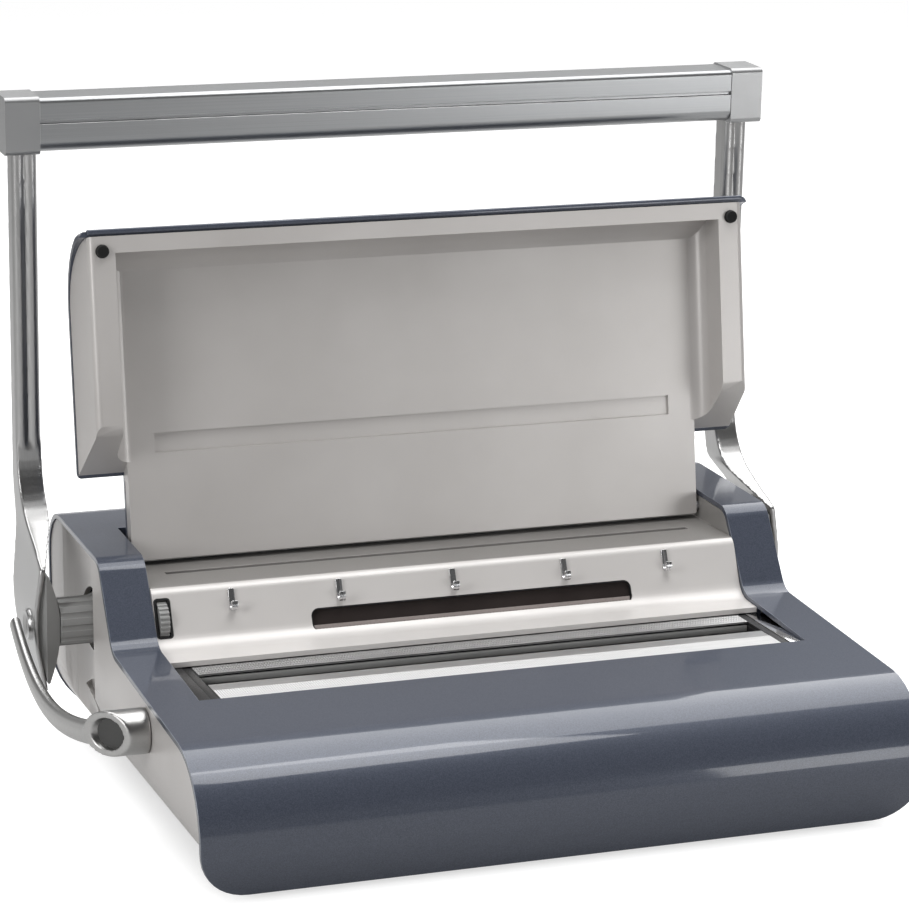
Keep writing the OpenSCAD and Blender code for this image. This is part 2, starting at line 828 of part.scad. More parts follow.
module guide_block() {
    color(steel) difference() {
        across(-inner_x, inner_x) polygon([
            [guide_front_f, die_low],
            [guide_rear_f, die_low],
            [guide_rear_f, die_top],
            [guide_front_f + lead_in, die_top],
            [guide_front_f, die_top - lead_in]
        ]);
        pin_row(guide_front_f - over, guide_rear_f + over, pin_d / 2 + 1.6 * run_gap);
        both_sides() bar_y(rod_x, guide_front_f + over, guide_rear_f + over, pin_z, rod_d / 2 + run_gap);
    }
}

module carrier_rods() {
    color(chrome) both_sides() bar_y(rod_x, guide_front_f + 2 * over, hub_f + shaft_d, pin_z, rod_d / 2);
}

rack_w = pinion_w - 2;
tooth_add = 0.9 * gear_module;
tooth_ded = 1.2 * gear_module;
tooth_half = 0.19 * PI * gear_module;
flank = tan(20);

module punch_carrier() {
    color(steel) difference() {
        block(-carrier_half, carrier_half, carrier_f, carrier_f + carrier_d, pin_z - 6, pin_z + 7);
        both_sides()
            bar_y(rod_x, carrier_f - over, carrier_f + carrier_d + over, pin_z, rod_d / 2 + run_gap);
    }
}

module punch_pins() { color(chrome) pin_row(pin_tip_f, carrier_f, pin_d / 2); }

// Spur pinion on an axis along X with one tooth straight up
module pinion(x, f, z) {
    root_r = pinion_r - tooth_ded;
    tip_r = pinion_r + tooth_add;
    root_half = asin((tooth_half + tooth_ded * flank) / root_r);
    tip_half = asin((tooth_half - tooth_add * flank) / tip_r);
    corners = [[root_r, root_half], [tip_r, tip_half], [tip_r, -tip_half], [root_r, -root_half]];
    across(x - pinion_w / 2, x + pinion_w / 2) translate([f, z]) polygon([
        for (i = [0 : pinion_teeth - 1], c = corners)
            let (a = 90 - i * 360 / pinion_teeth + c[1])
            c[0] * [cos(a), sin(a)]
    ]);
}

// Side view of rack teeth that point down, with a gap over the given pinion axis
module rack_teeth(axis_f, from_i, to_i) {
    for (i = [from_i : to_i])
        translate([axis_f + (i + 0.5) * PI * gear_module, 0]) polygon([
            [-tooth_half + tooth_add * flank, -tooth_add],
            [tooth_half - tooth_add * flank, -tooth_add],
            [tooth_half + tooth_ded * flank, tooth_ded],
            [tooth_half + tooth_ded * flank, tooth_ded + over],
            [-tooth_half - tooth_ded * flank, tooth_ded + over],
            [-tooth_half - tooth_ded * flank, tooth_ded]
        ]);
}

module carrier_racks() {
    first_f = carrier_f + carrier_d;
    last_f = hub_f + punch_travel + 3 * PI * gear_module;
    first_tooth = ceil((first_f - hub_f) / (PI * gear_module));
    last_tooth = floor((last_f - hub_f) / (PI * gear_module)) - 1;
    color(steel) both_sides() across(rack_x - rack_w / 2, rack_x + rack_w / 2) union() {
        translate([first_f, hub_z + pinion_r + tooth_ded])
            square([last_f - first_f, pin_z - hub_z - pinion_r - tooth_ded]);
        translate([0, hub_z + pinion_r]) rack_teeth(hub_f, first_tooth, last_tooth);
    }
}

// Handle

arm_in = half_w + arm_clear;
arm_out = arm_in + arm_w;
lens_x = arm_out - arm_w / 6;
lens_in = lens_x - 8.7;
hub_out = arm_out + hub_bulge;
hub_in = hub_out - hub_t - 0.3;
collar_in = cheek_face - scoop_deep - cheek_t + over;
bolt_d = 8;
bolt_head_h = 2.6;
bolt_dish = 1.4;
bar_end = arm_in - run_gap;
block_out = bar_end + block_w;
arm_top = bar_up - bar_h / 2 + over;

// Handle's own frame: the axis at the origin and the arms upright
module handle_frame() {
    translate([0, fy(hub_f), hub_z]) rotate([arm_lean, 0, 0]) children();
}

// Side view of the bar's section, drawn from the arm's middle line
bar_section = rounded([
    [-bar_d / 2, -bar_h / 2, 7],
    [bar_d / 2, -bar_h / 2, 7],
    [bar_d / 2, bar_h / 2, 4],
    [-bar_d / 2, bar_h / 2, 3]
]);
groove_up = 2;

// Extrudes a side view of the handle, y back and z up from the axis, from x0 to x1
module handle_across(x0, x1) {
    translate([x0, 0, 0]) rotate([90, 0, 90]) linear_extrude(x1 - x0) children();
}

// Extrudes a front view of the handle, x across and z up from the axis, from y0 to y1
module handle_along(y0, y1) {
    translate([0, y1, 0]) rotate([90, 0, 0]) linear_extrude(y1 - y0) children();
}

module handle_bar() {
    color(satin) handle_frame() handle_across(-bar_end, bar_end) translate([arm_back, bar_up])
        difference() {
            polygon(bar_section);
            translate([-bar_d / 2 - over, groove_up - groove_w / 2]) square([over + groove_w, groove_w]);
        }
}

module end_block() {
    h = bar_h / 2 + block_over;
    d = bar_d / 2 + block_over / 2;
    handle_frame() difference() {
        handle_across(bar_end, block_out) translate([arm_back, bar_up])
            polygon(rounded([[-d, -h, 3], [d, -h, 6], [d, h, 4], [-d, h, 3]]));
        translate([arm_in + arm_w / 2, arm_back, 0]) arm_bar(arm_top, run_gap);
    }
}

module left_end_block() { color(satin) mirror([1, 0, 0]) end_block(); }

module right_end_block() { color(satin) end_block(); }

// Arm of two round ridges with a groove between them, from the axis' height up
module arm_bar(top, grow) {
    ridge_r = arm_w / 4;
    linear_extrude(top) {
        translate([-ridge_r, ridge_r - arm_d / 2]) circle(r = ridge_r + grow);
        translate([ridge_r, ridge_r - arm_d / 2]) circle(r = ridge_r + grow);
        translate([-arm_w / 2 - grow, ridge_r - arm_d / 2])
            square([arm_w + 2 * grow, arm_d - ridge_r + grow]);
    }
}

foot_high = 102;
run_out = 13;
arm_front = arm_back - arm_d / 2;
arm_rear = arm_back + arm_d / 2;
lens_top = lens_h / 2;
bend_r = 100;

// Side view of the hub plate, which grows out of the arm's foot
hub_outline = rounded([
    [arm_front + arm_w / 4, foot_high, 0],
    [arm_front, foot_high - run_out, 0],
    [arm_front, lens_top + 25, 40],
    [-hub_front, lens_top + 1.5, 3],
    [-hub_front, -lens_top - 2, 3],
    [hub_front + 9, -lens_top + 2, 25],
    [arm_front - 2, hub_front, 40],
    [arm_rear, 2 * lens_top, 60],
    [arm_rear, foot_high, 0]
]);

// Front view of the arm's foot and of the hub plate, which bulges outwards round the lens
hub_front_view = rounded([
    [arm_in, foot_high + over, 0],
    [arm_in, lens_top + 17, 12],
    [lens_x - 0.1, lens_top + 1.2, 6],
    [hub_in + 2, 0, bend_r],
    [lens_x - 1, -lens_top - 3, 0],
    [lens_x + hub_t - 1, -lens_top - 3, 0],
    [hub_out + 1.4, 0, bend_r],
    [arm_out, lens_top + 10, bend_r],
    [arm_out, foot_high + over, 0]
]);

module handle_arm() {
    handle_frame() difference() {
        union() {
            translate([arm_in + arm_w / 2, arm_back, foot_high - run_out])
                arm_bar(arm_top - foot_high + run_out, 0);
            intersection() {
                handle_across(arm_in - over, hub_out + over) polygon(hub_outline);
                handle_along(-2 * hub_front, arm_rear + over) polygon(hub_front_view);
            }
        }
        translate([hub_in - over, 0, 0]) rotate([0, 90, 0])
            cylinder(h = 3 * hub_t, d = bolt_d + 2 * run_gap);
        translate([bolt_seat, 0, 0]) rotate([0, 90, 0]) cylinder(h = hub_t, d = bolt_head_d + 2 * run_gap);
    }
}

module left_arm() { color(silver) mirror([1, 0, 0]) handle_arm(); }

module right_arm() { color(silver) handle_arm(); }

bolt_seat = hub_out - 0.6;
lens_bow = 3;

// Lens in the front view, its back against the hub plate and its front folded to an upright edge
module hub_cover() {
    front = hub_front - over;
    handle_frame() difference() {
        intersection() {
            handle_along(-hub_front, lens_rear) polygon(rounded([
                [lens_x - 0.3, lens_top, over],
                [lens_in - 4.5, 0, 75],
                [lens_x - 0.8, -lens_top, over],
                [hub_in + 1.8, 0, bend_r]
            ]));
            translate([0, 0, -lens_top]) linear_extrude(lens_h) polygon([
                [lens_in - over, lens_bow - front],
                [lens_x, -front],
                [hub_out, 1.5 * lens_bow - front],
                [hub_out, lens_rear],
                [lens_in - over, lens_rear]
            ]);
        }
        rotate([0, 90, 0]) cylinder(h = half_w * 2, d = shaft_d + 2 * run_gap);
    }
}

module left_hub_cover() { color(dark_grey) mirror([1, 0, 0]) hub_cover(); }

module right_hub_cover() { color(dark_grey) hub_cover(); }

flute_count = 12;
flute_d = 4;
collar_flare = 4;

module hub_collars() {
    long = lens_in - collar_in - run_gap;
    color(dark_grey) both_sides() handle_frame() translate([collar_in, 0, 0]) rotate([0, 90, 0])
    difference() {
        union() {
            cylinder(h = long, d = collar_d);
            cylinder(h = collar_flare, d1 = collar_d + collar_flare, d2 = collar_d);
        }
        translate([0, 0, -over]) cylinder(h = lens_in, d = shaft_d + 2 * run_gap);
        for (i = [0 : flute_count - 1])
            rotate(i * 360 / flute_count) translate([collar_d / 2 + flute_d / 6, 0, -over])
                cylinder(h = lens_in, d = flute_d, $fn = 24);
    }
}

module hub_bolts() {
    rim_d = bolt_head_d - bolt_head_h;
    color(silver) both_sides() handle_frame() translate([bolt_seat, 0, 0]) rotate([0, 90, 0]) difference() {
        union() {
            translate([0, 0, -bolt_d - hub_t]) cylinder(h = bolt_d + hub_t, d = bolt_d);
            cylinder(h = bolt_head_h, d1 = bolt_head_d, d2 = rim_d);
        }
        translate([0, 0, bolt_head_h - bolt_dish])
            cylinder(h = bolt_dish + over, d1 = bolt_d, d2 = rim_d);
    }
}

module drive_shaft() {
    color(steel) difference() {
        bar_x(-hub_in, hub_in, hub_f, hub_z, shaft_d / 2);
        both_sides() bar_x(hub_in - bolt_d - over, hub_in + over, hub_f, hub_z, bolt_d / 2 + run_gap);
    }
}

module drive_pinions() {
    color(steel) both_sides() difference() {
        pinion(rack_x, hub_f, hub_z);
        bar_x(0, half_w, hub_f, hub_z, shaft_d / 2 + run_gap);
    }
}

// Lid

lid_half = half_w - lid_set;
lid_w = 2 * lid_half;
neck_half = bay_half - 2;
liner_gap = 0.2;
liner_top = lid_l - lid_cover_t - liner_gap;
lobe_end = lobe_low - lid_back * tan(lobe_slant);

// Lid's own frame: the hinge axis at the origin, the lid upright, y towards its back
module lid_frame() {
    translate([0, fy(hinge_f), hinge_z]) rotate([-lid_lean, 0, 0]) children();
}

// Front view of the lid, a neck that widens into two lobes, drawn in by the given inset
function lid_outline(inset) =
    let (
        n = neck_half - inset,
        w = lid_half - inset,
        low = lobe_end + inset,
        top = lid_l - inset
    )
    rounded([
        [-n, -neck_low, over], [n, -neck_low, over], [n, low, 4], [w, low, 3],
        [w, top, lid_r], [-w, top, lid_r], [-w, low, 3], [-n, low, 4]
    ]);

// Extrudes a front view of the lid from y0 to y1
module lid_along(y0, y1) {
    translate([0, y1, 0]) rotate([90, 0, 0]) linear_extrude(y1 - y0) children();
}

// Extrudes a side view of the lid over its width
module lid_across() {
    translate([-lid_half, 0, 0]) rotate([90, 0, 90]) linear_extrude(lid_w) children();
}

// Extrudes a plan of the lid from below its neck up to the given height
module lid_up(top) {
    translate([0, 0, -neck_low - over]) linear_extrude(top + neck_low + over) children();
}

// Space under a slanted plane that crosses the hinge plane at the given height
module under_slant(x0, x1, low, slant) {
    size = 2 * lid_l;
    translate([x0, 0, low]) rotate([-slant, 0, 0]) translate([0, -size / 2, -size])
        cube([x1 - x0, size, size]);
}

nick = 4;
nick_slant = 60;

// Space under the slanted lower faces of the lobes, and in front of the neck
module lobe_relief() {
    nick_low = lobe_low + lobe_deep * tan(lobe_slant) + nick - lobe_deep * tan(nick_slant);
    both_sides() under_slant(neck_half, lid_w, lobe_low, lobe_slant);
    intersection() {
        union() {
            under_slant(-lid_half, lid_half, lobe_low, lobe_slant);
            both_sides() under_slant(neck_half - lobe_cove_r, lid_w, nick_low, nick_slant);
        }
        lid_along(-2 * lobe_deep, -liner_front) square([lid_w, lid_w], center = true);
    }
}

// Side view of the lid's outer face, from its front edge over the top and down the back
lid_path = [
    [-lid_top_r, lid_l, 0],
    [lid_back, lid_l, lid_top_r],
    [lid_back, -neck_low, 0]
];

module lid_shell() {
    color(slate) lid_frame() difference() {
        intersection() {
            lid_across() polygon(sheet(lid_path, lid_cover_t));
            lid_along(-lid_front, lid_back + over) polygon(lid_outline(0));
        }
        lobe_relief();
    }
}

groove_deep = 2;
lobe_out = lid_half - lobe_set;
lobe_in = lobe_out - lobe_face_w;

// Side view of the space in front of the shell
liner_side = rounded(concat(shifted(lid_path, lid_cover_t + liner_gap), [[-lid_top_r, -neck_low, 0]]));

// Plan of the liner, whose sides draw in towards the front
liner_plan = rounded([
    [-lid_half + liner_gap, lid_back, 0],
    [-lobe_out, -lobe_deep, 4],
    [lobe_out, -lobe_deep, 4],
    [lid_half - liner_gap, lid_back, 0]
]);

// Plan of the pocket between the lobes
pocket_plan = rounded([
    [-lobe_in, -liner_front, lobe_cove_r],
    [-lobe_in, -lobe_deep, 0],
    [-lobe_in, -2 * lobe_deep, 0],
    [lobe_in, -2 * lobe_deep, 0],
    [lobe_in, -liner_front, lobe_cove_r]
]);

liner_t = 3;
pocket_back = lid_cover_t + liner_gap + liner_t;

// Side view of the pocket, which stays inside the curved top
pocket_side = rounded(concat(shifted(lid_path, pocket_back), [
    [lid_back - pocket_back, -neck_low - over, 0],
    [-2 * lid_top_r, -neck_low - over, 0],
    [-2 * lid_top_r, lid_l - pocket_back, 0]
]));

module lid_liner() {
    color(warm_grey) lid_frame() difference() {
        intersection() {
            lid_across() polygon(liner_side);
            lid_up(lid_l) polygon(liner_plan);
            lid_along(-2 * lobe_deep, lid_back) polygon(lid_outline(liner_gap));
        }
        intersection() {
            lid_up(liner_top - rim_h) polygon(pocket_plan);
            lid_across() polygon(pocket_side);
        }
        lobe_relief();
        translate([-groove_half, -liner_front - over, groove_low])
            cube([2 * groove_half, groove_deep + over, groove_h]);
        both_sides() translate([neck_half - hinge_pin_l, 0, 0]) rotate([0, 90, 0])
            cylinder(h = hinge_pin_l + over, d = hinge_pin_d + 2 * run_gap);
    }
}

bumper_x = lobe_out - lobe_face_w / 2;
hinge_pin_l = 14;

module lid_bumpers() {
    color(rubber) lid_frame() both_sides() translate([bumper_x, -lobe_deep, bumper_up]) rotate([90, 0, 0])
        cylinder(h = bumper_h, d1 = bumper_d, d2 = bumper_d - over);
}

module lid_hinge_pins() {
    color(steel) both_sides()
        bar_x(neck_half - hinge_pin_l + over, bay_half + lip_t, hinge_f, hinge_z, hinge_pin_d / 2);
}

// Wire closer

closer_front_f = slot_front_f + 2;
closer_rear_f = closer_front_f + closer_w;
anvil_f = closer_rear_f + jaw_gap;
jaw_half = bay_half - jaw_inset;
end_front_f = lever_f + lever_shaft_d / 2 + 2;
end_rear_f = anvil_f + anvil_w;
end_ledge = 11;
anvil_nose = 1.5;
end_low = jaw_under - 10;
end_high = jaw_z + 0.5;
end_over_shaft = lever_z + lever_shaft_d / 2 + 0.5;
closer_x = jaw_half - end_ledge - 10;
leg_w = 8;
leg_f = closer_rear_f - leg_w - over;

module closer_bar() {
    color(chrome) block(-jaw_half, jaw_half, closer_front_f, closer_rear_f, jaw_under, jaw_z);
}

module anvil_bar() {
    color(chrome) {
        block(-jaw_half, jaw_half, anvil_f, end_rear_f, jaw_under - fit_gap, jaw_z);
        block(-jaw_half + end_ledge + fit_gap, jaw_half - end_ledge - fit_gap, anvil_f + anvil_nose,
            anvil_f + anvil_nose + jaw_t, end_low, jaw_under);
    }
}

// Black end blocks with ledges that carry the closer bar and the anvil bar
module slot_ends() {
    color(black) both_sides() {
        block(jaw_half + fit_gap, jaw_half + end_w, slot_front_f + over, end_rear_f,
            end_over_shaft, end_high);
        block(jaw_half + fit_gap, jaw_half + end_w, end_front_f, end_rear_f, end_low, end_over_shaft);
        block(jaw_half - end_ledge, jaw_half + fit_gap, end_front_f, end_rear_f,
            end_low, jaw_under - fit_gap);
    }
}

// Steel blocks that carry the end blocks from the side plates
module slot_brackets() {
    color(chrome) both_sides() difference() {
        union() {
            block(jaw_half + end_w, inner_x, slot_front_f + over, end_rear_f, end_over_shaft, end_high);
            block(jaw_half + end_w, inner_x, end_front_f, end_rear_f, end_low, end_over_shaft);
        }
        bar_x(0, half_w, lever_f, lever_z, lever_shaft_d / 2 + bush_wall + fit_gap);
    }
}

module slot_tray() {
    color(black) block(-jaw_half, jaw_half, leg_f + leg_w + pinion_r * PI / 2 + over, end_rear_f,
        end_low - cover_t, end_low);
}

module closer_racks() {
    pitch_z = lever_z - pinion_r;
    low = pitch_z - tooth_ded - 7;
    reach = pinion_r * PI / 2 + 2 * PI * gear_module;
    first = -ceil(reach / (PI * gear_module));
    rack_front_f = lever_f + first * PI * gear_module;
    color(steel) both_sides() across(closer_x - rack_w / 2, closer_x + rack_w / 2) union() {
        translate([rack_front_f, low]) square([leg_f + leg_w - rack_front_f, pitch_z - tooth_ded - low]);
        translate([leg_f, low]) square([leg_w, jaw_under - low]);
        translate([0, pitch_z]) mirror([0, 1]) rack_teeth(lever_f, first, 2);
    }
}

module closer_pinions() {
    color(steel) both_sides() difference() {
        pinion(closer_x, lever_f, lever_z);
        bar_x(0, half_w, lever_f, lever_z, lever_shaft_d / 2 + run_gap);
    }
}

module lever_shaft() {
    color(steel) bar_x(-cheek_face - fit_gap, inner_x + plate_t, lever_f, lever_z, lever_shaft_d / 2);
}

barrel_in = cheek_face + fit_gap;
barrel_out = barrel_in + barrel_l;
cap_t = 2;
lever_steps = 24;
lever_sides = 16;

// Middle of the lever's arm, from barrel to tip, as [out, back, up] from the axis at the barrel's end
function lever_at(t) = [
    lever_out * (1 - pow(1 - t, 4)),
    lever_reach * t,
    -4 * lever_sag * t * (1 - t) + lever_rise * pow(t, 3)
];
function lever_ring(t) =
    let (
        p = lever_at(t),
        along = unit(lever_at(t + 0.01) - lever_at(t - 0.01)),
        side = unit(cross(along, [0, 0, 1])),
        up = cross(side, along),
        thick = lever_thick * (1 - 0.35 * t) / 2,
        tall = lever_w * (1 - 0.3 * t) / 2
    )
    [for (i = [0 : lever_sides - 1])
        let (a = i * 360 / lever_sides)
        p + side * thick * cos(a) + up * tall * sin(a)];

module lever_end_frame() {
    translate([-barrel_out, fy(lever_f), lever_z]) children();
}

// Everything on the machine's side of the barrel's slanted end, drawn in by the given depth
module behind_slant(deep) {
    size = 4 * lever_reach;
    lever_end_frame() rotate([0, 0, ring_turn]) translate([deep, -size / 2, -size / 2]) cube(size);
}

// Round bar on the lever's axis from the cheek to beyond the slanted end
module lever_axis_bar(d) {
    bar_x(-barrel_out - barrel_d, -barrel_in, lever_f, lever_z, d / 2);
}

module wire_lever() {
    color(silver) difference() {
        intersection() {
            union() {
                lever_axis_bar(barrel_d);
                lever_end_frame() mirror([1, 0, 0])
                    loft([for (k = [0 : lever_steps]) lever_ring(k / lever_steps)]);
            }
            behind_slant(0);
        }
        difference() {
            lever_axis_bar(cap_d + 2 * run_gap);
            behind_slant(cap_deep);
        }
    }
}

module lever_cap() {
    color(dark_grey) difference() {
        intersection() {
            lever_axis_bar(cap_d);
            behind_slant(cap_deep - cap_t);
        }
        behind_slant(cap_deep - run_gap);
    }
}

// Edge guide

module guide_wheel() {
    ribs = 24;
    rib_r = 0.9;
    color(dark_grey) difference() {
        bar_x(-wheel_x - wheel_w / 2, -wheel_x + wheel_w / 2, wheel_f, wheel_z, wheel_d / 2);
        bar_x(-half_w, 0, wheel_f, wheel_z, screw_d / 2 + run_gap);
        for (i = [0 : ribs - 1])
            let (a = i * 360 / ribs)
            bar_x(-half_w, 0, wheel_f + wheel_d / 2 * cos(a), wheel_z + wheel_d / 2 * sin(a),
                rib_r, $fn = 16);
    }
}

module guide_screw() { color(steel) bar_x(-plate_x, lug_x + lug_w, wheel_f, wheel_z, screw_d / 2); }

module edge_guide() {
    nut_half = notch_half - over;
    color(dark_grey) difference() {
        union() {
            block(fence_x - nut_half, fence_x + nut_half, wheel_f, die_front_f - fit_gap,
                wheel_z - screw_d, wheel_z + screw_d);
            block(fence_x - fence_t / 2, fence_x + fence_t / 2, wheel_f + screw_d, guide_front_f - fit_gap,
                paper_stop_z + fit_gap, die_top - fit_gap);
        }
        bar_x(-half_w, 0, wheel_f, wheel_z, screw_d / 2 + run_gap);
    }
}

// Chip drawer

module chip_drawer() {
    floor_z = pan_z + fit_gap;
    left_x = cheek_face - drawer_l;
    tray_right = cheek_face - side_r;
    front = drawer_f + drawer_t;
    rear = drawer_f + drawer_d - drawer_t;
    top = foot_h + drawer_h - drawer_t;
    color(dark_grey) {
        intersection() {
            side_skin(drawer_grip_tilt);
            drawer_mask(0);
        }
        difference() {
            block(left_x, tray_right + 2 * drawer_t, front, rear, floor_z, top);
            block(left_x + drawer_t, tray_right - drawer_t, front + drawer_t, rear - drawer_t,
                floor_z + drawer_t, top + over);
        }
        intersection() {
            block(tray_right, cheek_face, front, rear, floor_z, top);
            envelope(cheek_recess + cheek_t, cheek_r);
            difference() {
                block(tray_right, cheek_face, front, rear, floor_z, top);
                block(tray_right - over, half_w, front + drawer_t, rear - drawer_t, floor_z, top + over);
            }
        }
    }
}

top_shell();
left_cheek();
right_cheek();
base_pan();
rubber_feet();
base_screws();
left_side_plate();
right_side_plate();
shaft_bushes();
lever_bushes();
punch_cover();
throat_ledge();
view_window();
wire_hooks();
die_block();
guide_block();
carrier_rods();
punch_carrier();
punch_pins();
carrier_racks();
handle_bar();
left_end_block();
right_end_block();
left_arm();
right_arm();
left_hub_cover();
right_hub_cover();
hub_collars();
hub_bolts();
drive_shaft();
drive_pinions();
lid_shell();
lid_liner();
lid_bumpers();
lid_hinge_pins();
closer_bar();
anvil_bar();
slot_ends();
slot_brackets();
slot_tray();
closer_racks();
closer_pinions();
lever_shaft();
wire_lever();
lever_cap();
guide_wheel();
guide_screw();
edge_guide();
chip_drawer();
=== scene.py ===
import json
import math

import bmesh
import bpy
from mathutils import Matrix, Vector


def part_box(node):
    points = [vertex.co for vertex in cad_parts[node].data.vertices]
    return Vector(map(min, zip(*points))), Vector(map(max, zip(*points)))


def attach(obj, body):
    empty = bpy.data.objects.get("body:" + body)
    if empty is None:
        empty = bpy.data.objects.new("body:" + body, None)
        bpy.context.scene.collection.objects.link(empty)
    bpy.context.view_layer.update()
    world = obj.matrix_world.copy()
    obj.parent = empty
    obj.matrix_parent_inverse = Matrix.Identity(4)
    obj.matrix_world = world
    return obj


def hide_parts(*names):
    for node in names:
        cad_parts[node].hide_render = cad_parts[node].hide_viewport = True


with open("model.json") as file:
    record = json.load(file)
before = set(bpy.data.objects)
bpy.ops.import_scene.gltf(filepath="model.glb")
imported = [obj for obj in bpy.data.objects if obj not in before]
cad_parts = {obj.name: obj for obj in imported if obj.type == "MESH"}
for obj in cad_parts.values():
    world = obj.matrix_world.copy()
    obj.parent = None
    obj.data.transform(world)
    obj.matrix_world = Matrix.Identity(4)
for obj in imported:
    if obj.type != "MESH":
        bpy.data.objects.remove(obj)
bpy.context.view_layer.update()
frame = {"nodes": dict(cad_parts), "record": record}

scene = bpy.context.scene
white = (1.0, 1.0, 1.0, 1.0)
print("frame loaded,", len(frame["nodes"]), "nodes")

# camera
viewpoint = {
    "place": (-0.618, -1.752, 0.611),
    "turn": (77.1, 0.0, -19.2),
    "lens": 134.8,
    "sensor": 36.0,
    "farthest": 100.0,
}


def setCamera():
    data = bpy.data.cameras.new("photoCamera")
    data.lens = viewpoint["lens"]
    data.sensor_width = viewpoint["sensor"]
    data.clip_end = viewpoint["farthest"]
    camera = bpy.data.objects.new("photoCamera", data)
    camera.location = viewpoint["place"]
    camera.rotation_euler = [math.radians(a) for a in viewpoint["turn"]]
    scene.collection.objects.link(camera)
    scene.camera = camera


setCamera()
print("camera set")


# node helpers
def feed(tree, socket, value):
    if isinstance(value, bpy.types.NodeSocket):
        tree.links.new(value, socket)
    else:
        socket.default_value = value


def addMath(tree, operation, first, second):
    node = tree.nodes.new("ShaderNodeMath")
    node.operation = operation
    feed(tree, node.inputs[0], first)
    feed(tree, node.inputs[1], second)
    return node.outputs[0]


def addRange(tree, value, span, result, kind="LINEAR"):
    node = tree.nodes.new("ShaderNodeMapRange")
    node.interpolation_type = kind
    labels = ("Value", "From Min", "From Max", "To Min", "To Max")
    for label, given in zip(labels, (value, *span, *result)):
        feed(tree, node.inputs[label], given)
    return node.outputs["Result"]


def startFinish(name, values):
    mat = bpy.data.materials.new(name)
    mat.use_nodes = True
    tree = mat.node_tree
    shader = tree.nodes["Principled BSDF"]
    for socket, value in values.items():
        shader.inputs[socket].default_value = value
    place = tree.nodes.new("ShaderNodeTexCoord").outputs["Object"]
    return mat, tree, shader, place


# light, floor and background
studio = {
    "ambient": 0.26,
    "background": 1.0,
    "roomFront": 0.24,  # what shiny pieces see in front of the table
    "roomHigh": 0.22,  # and above the white sweep
    "sweepDepth": (-0.9, 0.3),
    "sweepHeight": (0.1, 0.36),
    "floorSize": 40.0,
    "floorFinish": {
        "Base Color": (0.4, 0.4, 0.4, 1.0), "Roughness": 0.9, "Specular IOR Level": 0.1,
        "Emission Color": white,
    },
    "nearLift": 0.44,
    "farLift": 0.86,
    "mirrorLift": 0.35,  # share of the lift that shiny pieces see
    "footprint": (0.16, 0.13, 0.0),  # half sizes of the shadowed patch
    "liftReach": 0.05,
}
lamps = [
    {"name": "topSoftbox", "place": (0.45, 0.75, 1.6), "aim": (0.45, 0.75, 0.0),
     "size": (2.6, 2.1), "watts": 66.0},
    {"name": "rightFill", "place": (0.95, -1.35, 0.22), "aim": (0.0, 0.0, 0.2),
     "size": (0.7, 0.36), "watts": 4.2},
    {"name": "deckKey", "place": (0.22, -0.35, 1.2), "aim": (0.08, 0.0, 0.08),
     "size": (0.4, 0.4), "watts": 3.2},
    {"name": "leftFill", "place": (-1.6, -0.8, 0.75), "aim": (0.0, 0.0, 0.1),
     "size": (0.6, 1.0), "watts": 14.0},
]


def setLamps():
    for lamp in lamps:
        data = bpy.data.lights.new(lamp["name"], "AREA")
        data.shape = "RECTANGLE"
        data.size, data.size_y = lamp["size"]
        data.energy = lamp["watts"]
        item = bpy.data.objects.new(lamp["name"], data)
        item.location = lamp["place"]
        look = Vector(lamp["aim"]) - Vector(lamp["place"])
        item.rotation_euler = look.to_track_quat("-Z", "Y").to_euler()
        scene.collection.objects.link(item)


# mask of the rays that see the background as the eye does: camera and glass rays,
# and mirror rays by the share given
def seenRays(tree, mirrored):
    path = tree.nodes.new("ShaderNodeLightPath")
    mirror = addMath(tree, "MULTIPLY", path.outputs["Is Glossy Ray"], mirrored)
    direct = addMath(tree, "MAXIMUM", path.outputs["Is Camera Ray"], path.outputs["Is Transmission Ray"])
    return addMath(tree, "MAXIMUM", direct, mirror)


# white to the camera, a bright sweep low behind the table to mirrors, dim to everything else
def setWorld():
    world = bpy.data.worlds.new("studioWorld")
    scene.world = world
    world.use_nodes = True
    tree = world.node_tree
    background = tree.nodes["Background"]
    background.inputs["Color"].default_value = white
    split = tree.nodes.new("ShaderNodeSeparateXYZ")
    coords = tree.nodes.new("ShaderNodeTexCoord")
    tree.links.new(coords.outputs["Generated"], split.inputs[0])
    depth = addRange(tree, split.outputs["Y"], studio["sweepDepth"],
                     (studio["roomFront"], studio["background"]), "SMOOTHSTEP")
    height = addRange(tree, split.outputs["Z"], studio["sweepHeight"],
                      (studio["background"], studio["roomHigh"]), "SMOOTHSTEP")
    room = addMath(tree, "MULTIPLY", depth, height)
    path = tree.nodes.new("ShaderNodeLightPath")
    shown = addMath(tree, "MAXIMUM", room, path.outputs["Is Camera Ray"])
    strength = addRange(tree, seenRays(tree, 1.0), (0.0, 1.0), (studio["ambient"], shown))
    tree.links.new(strength, background.inputs["Strength"])


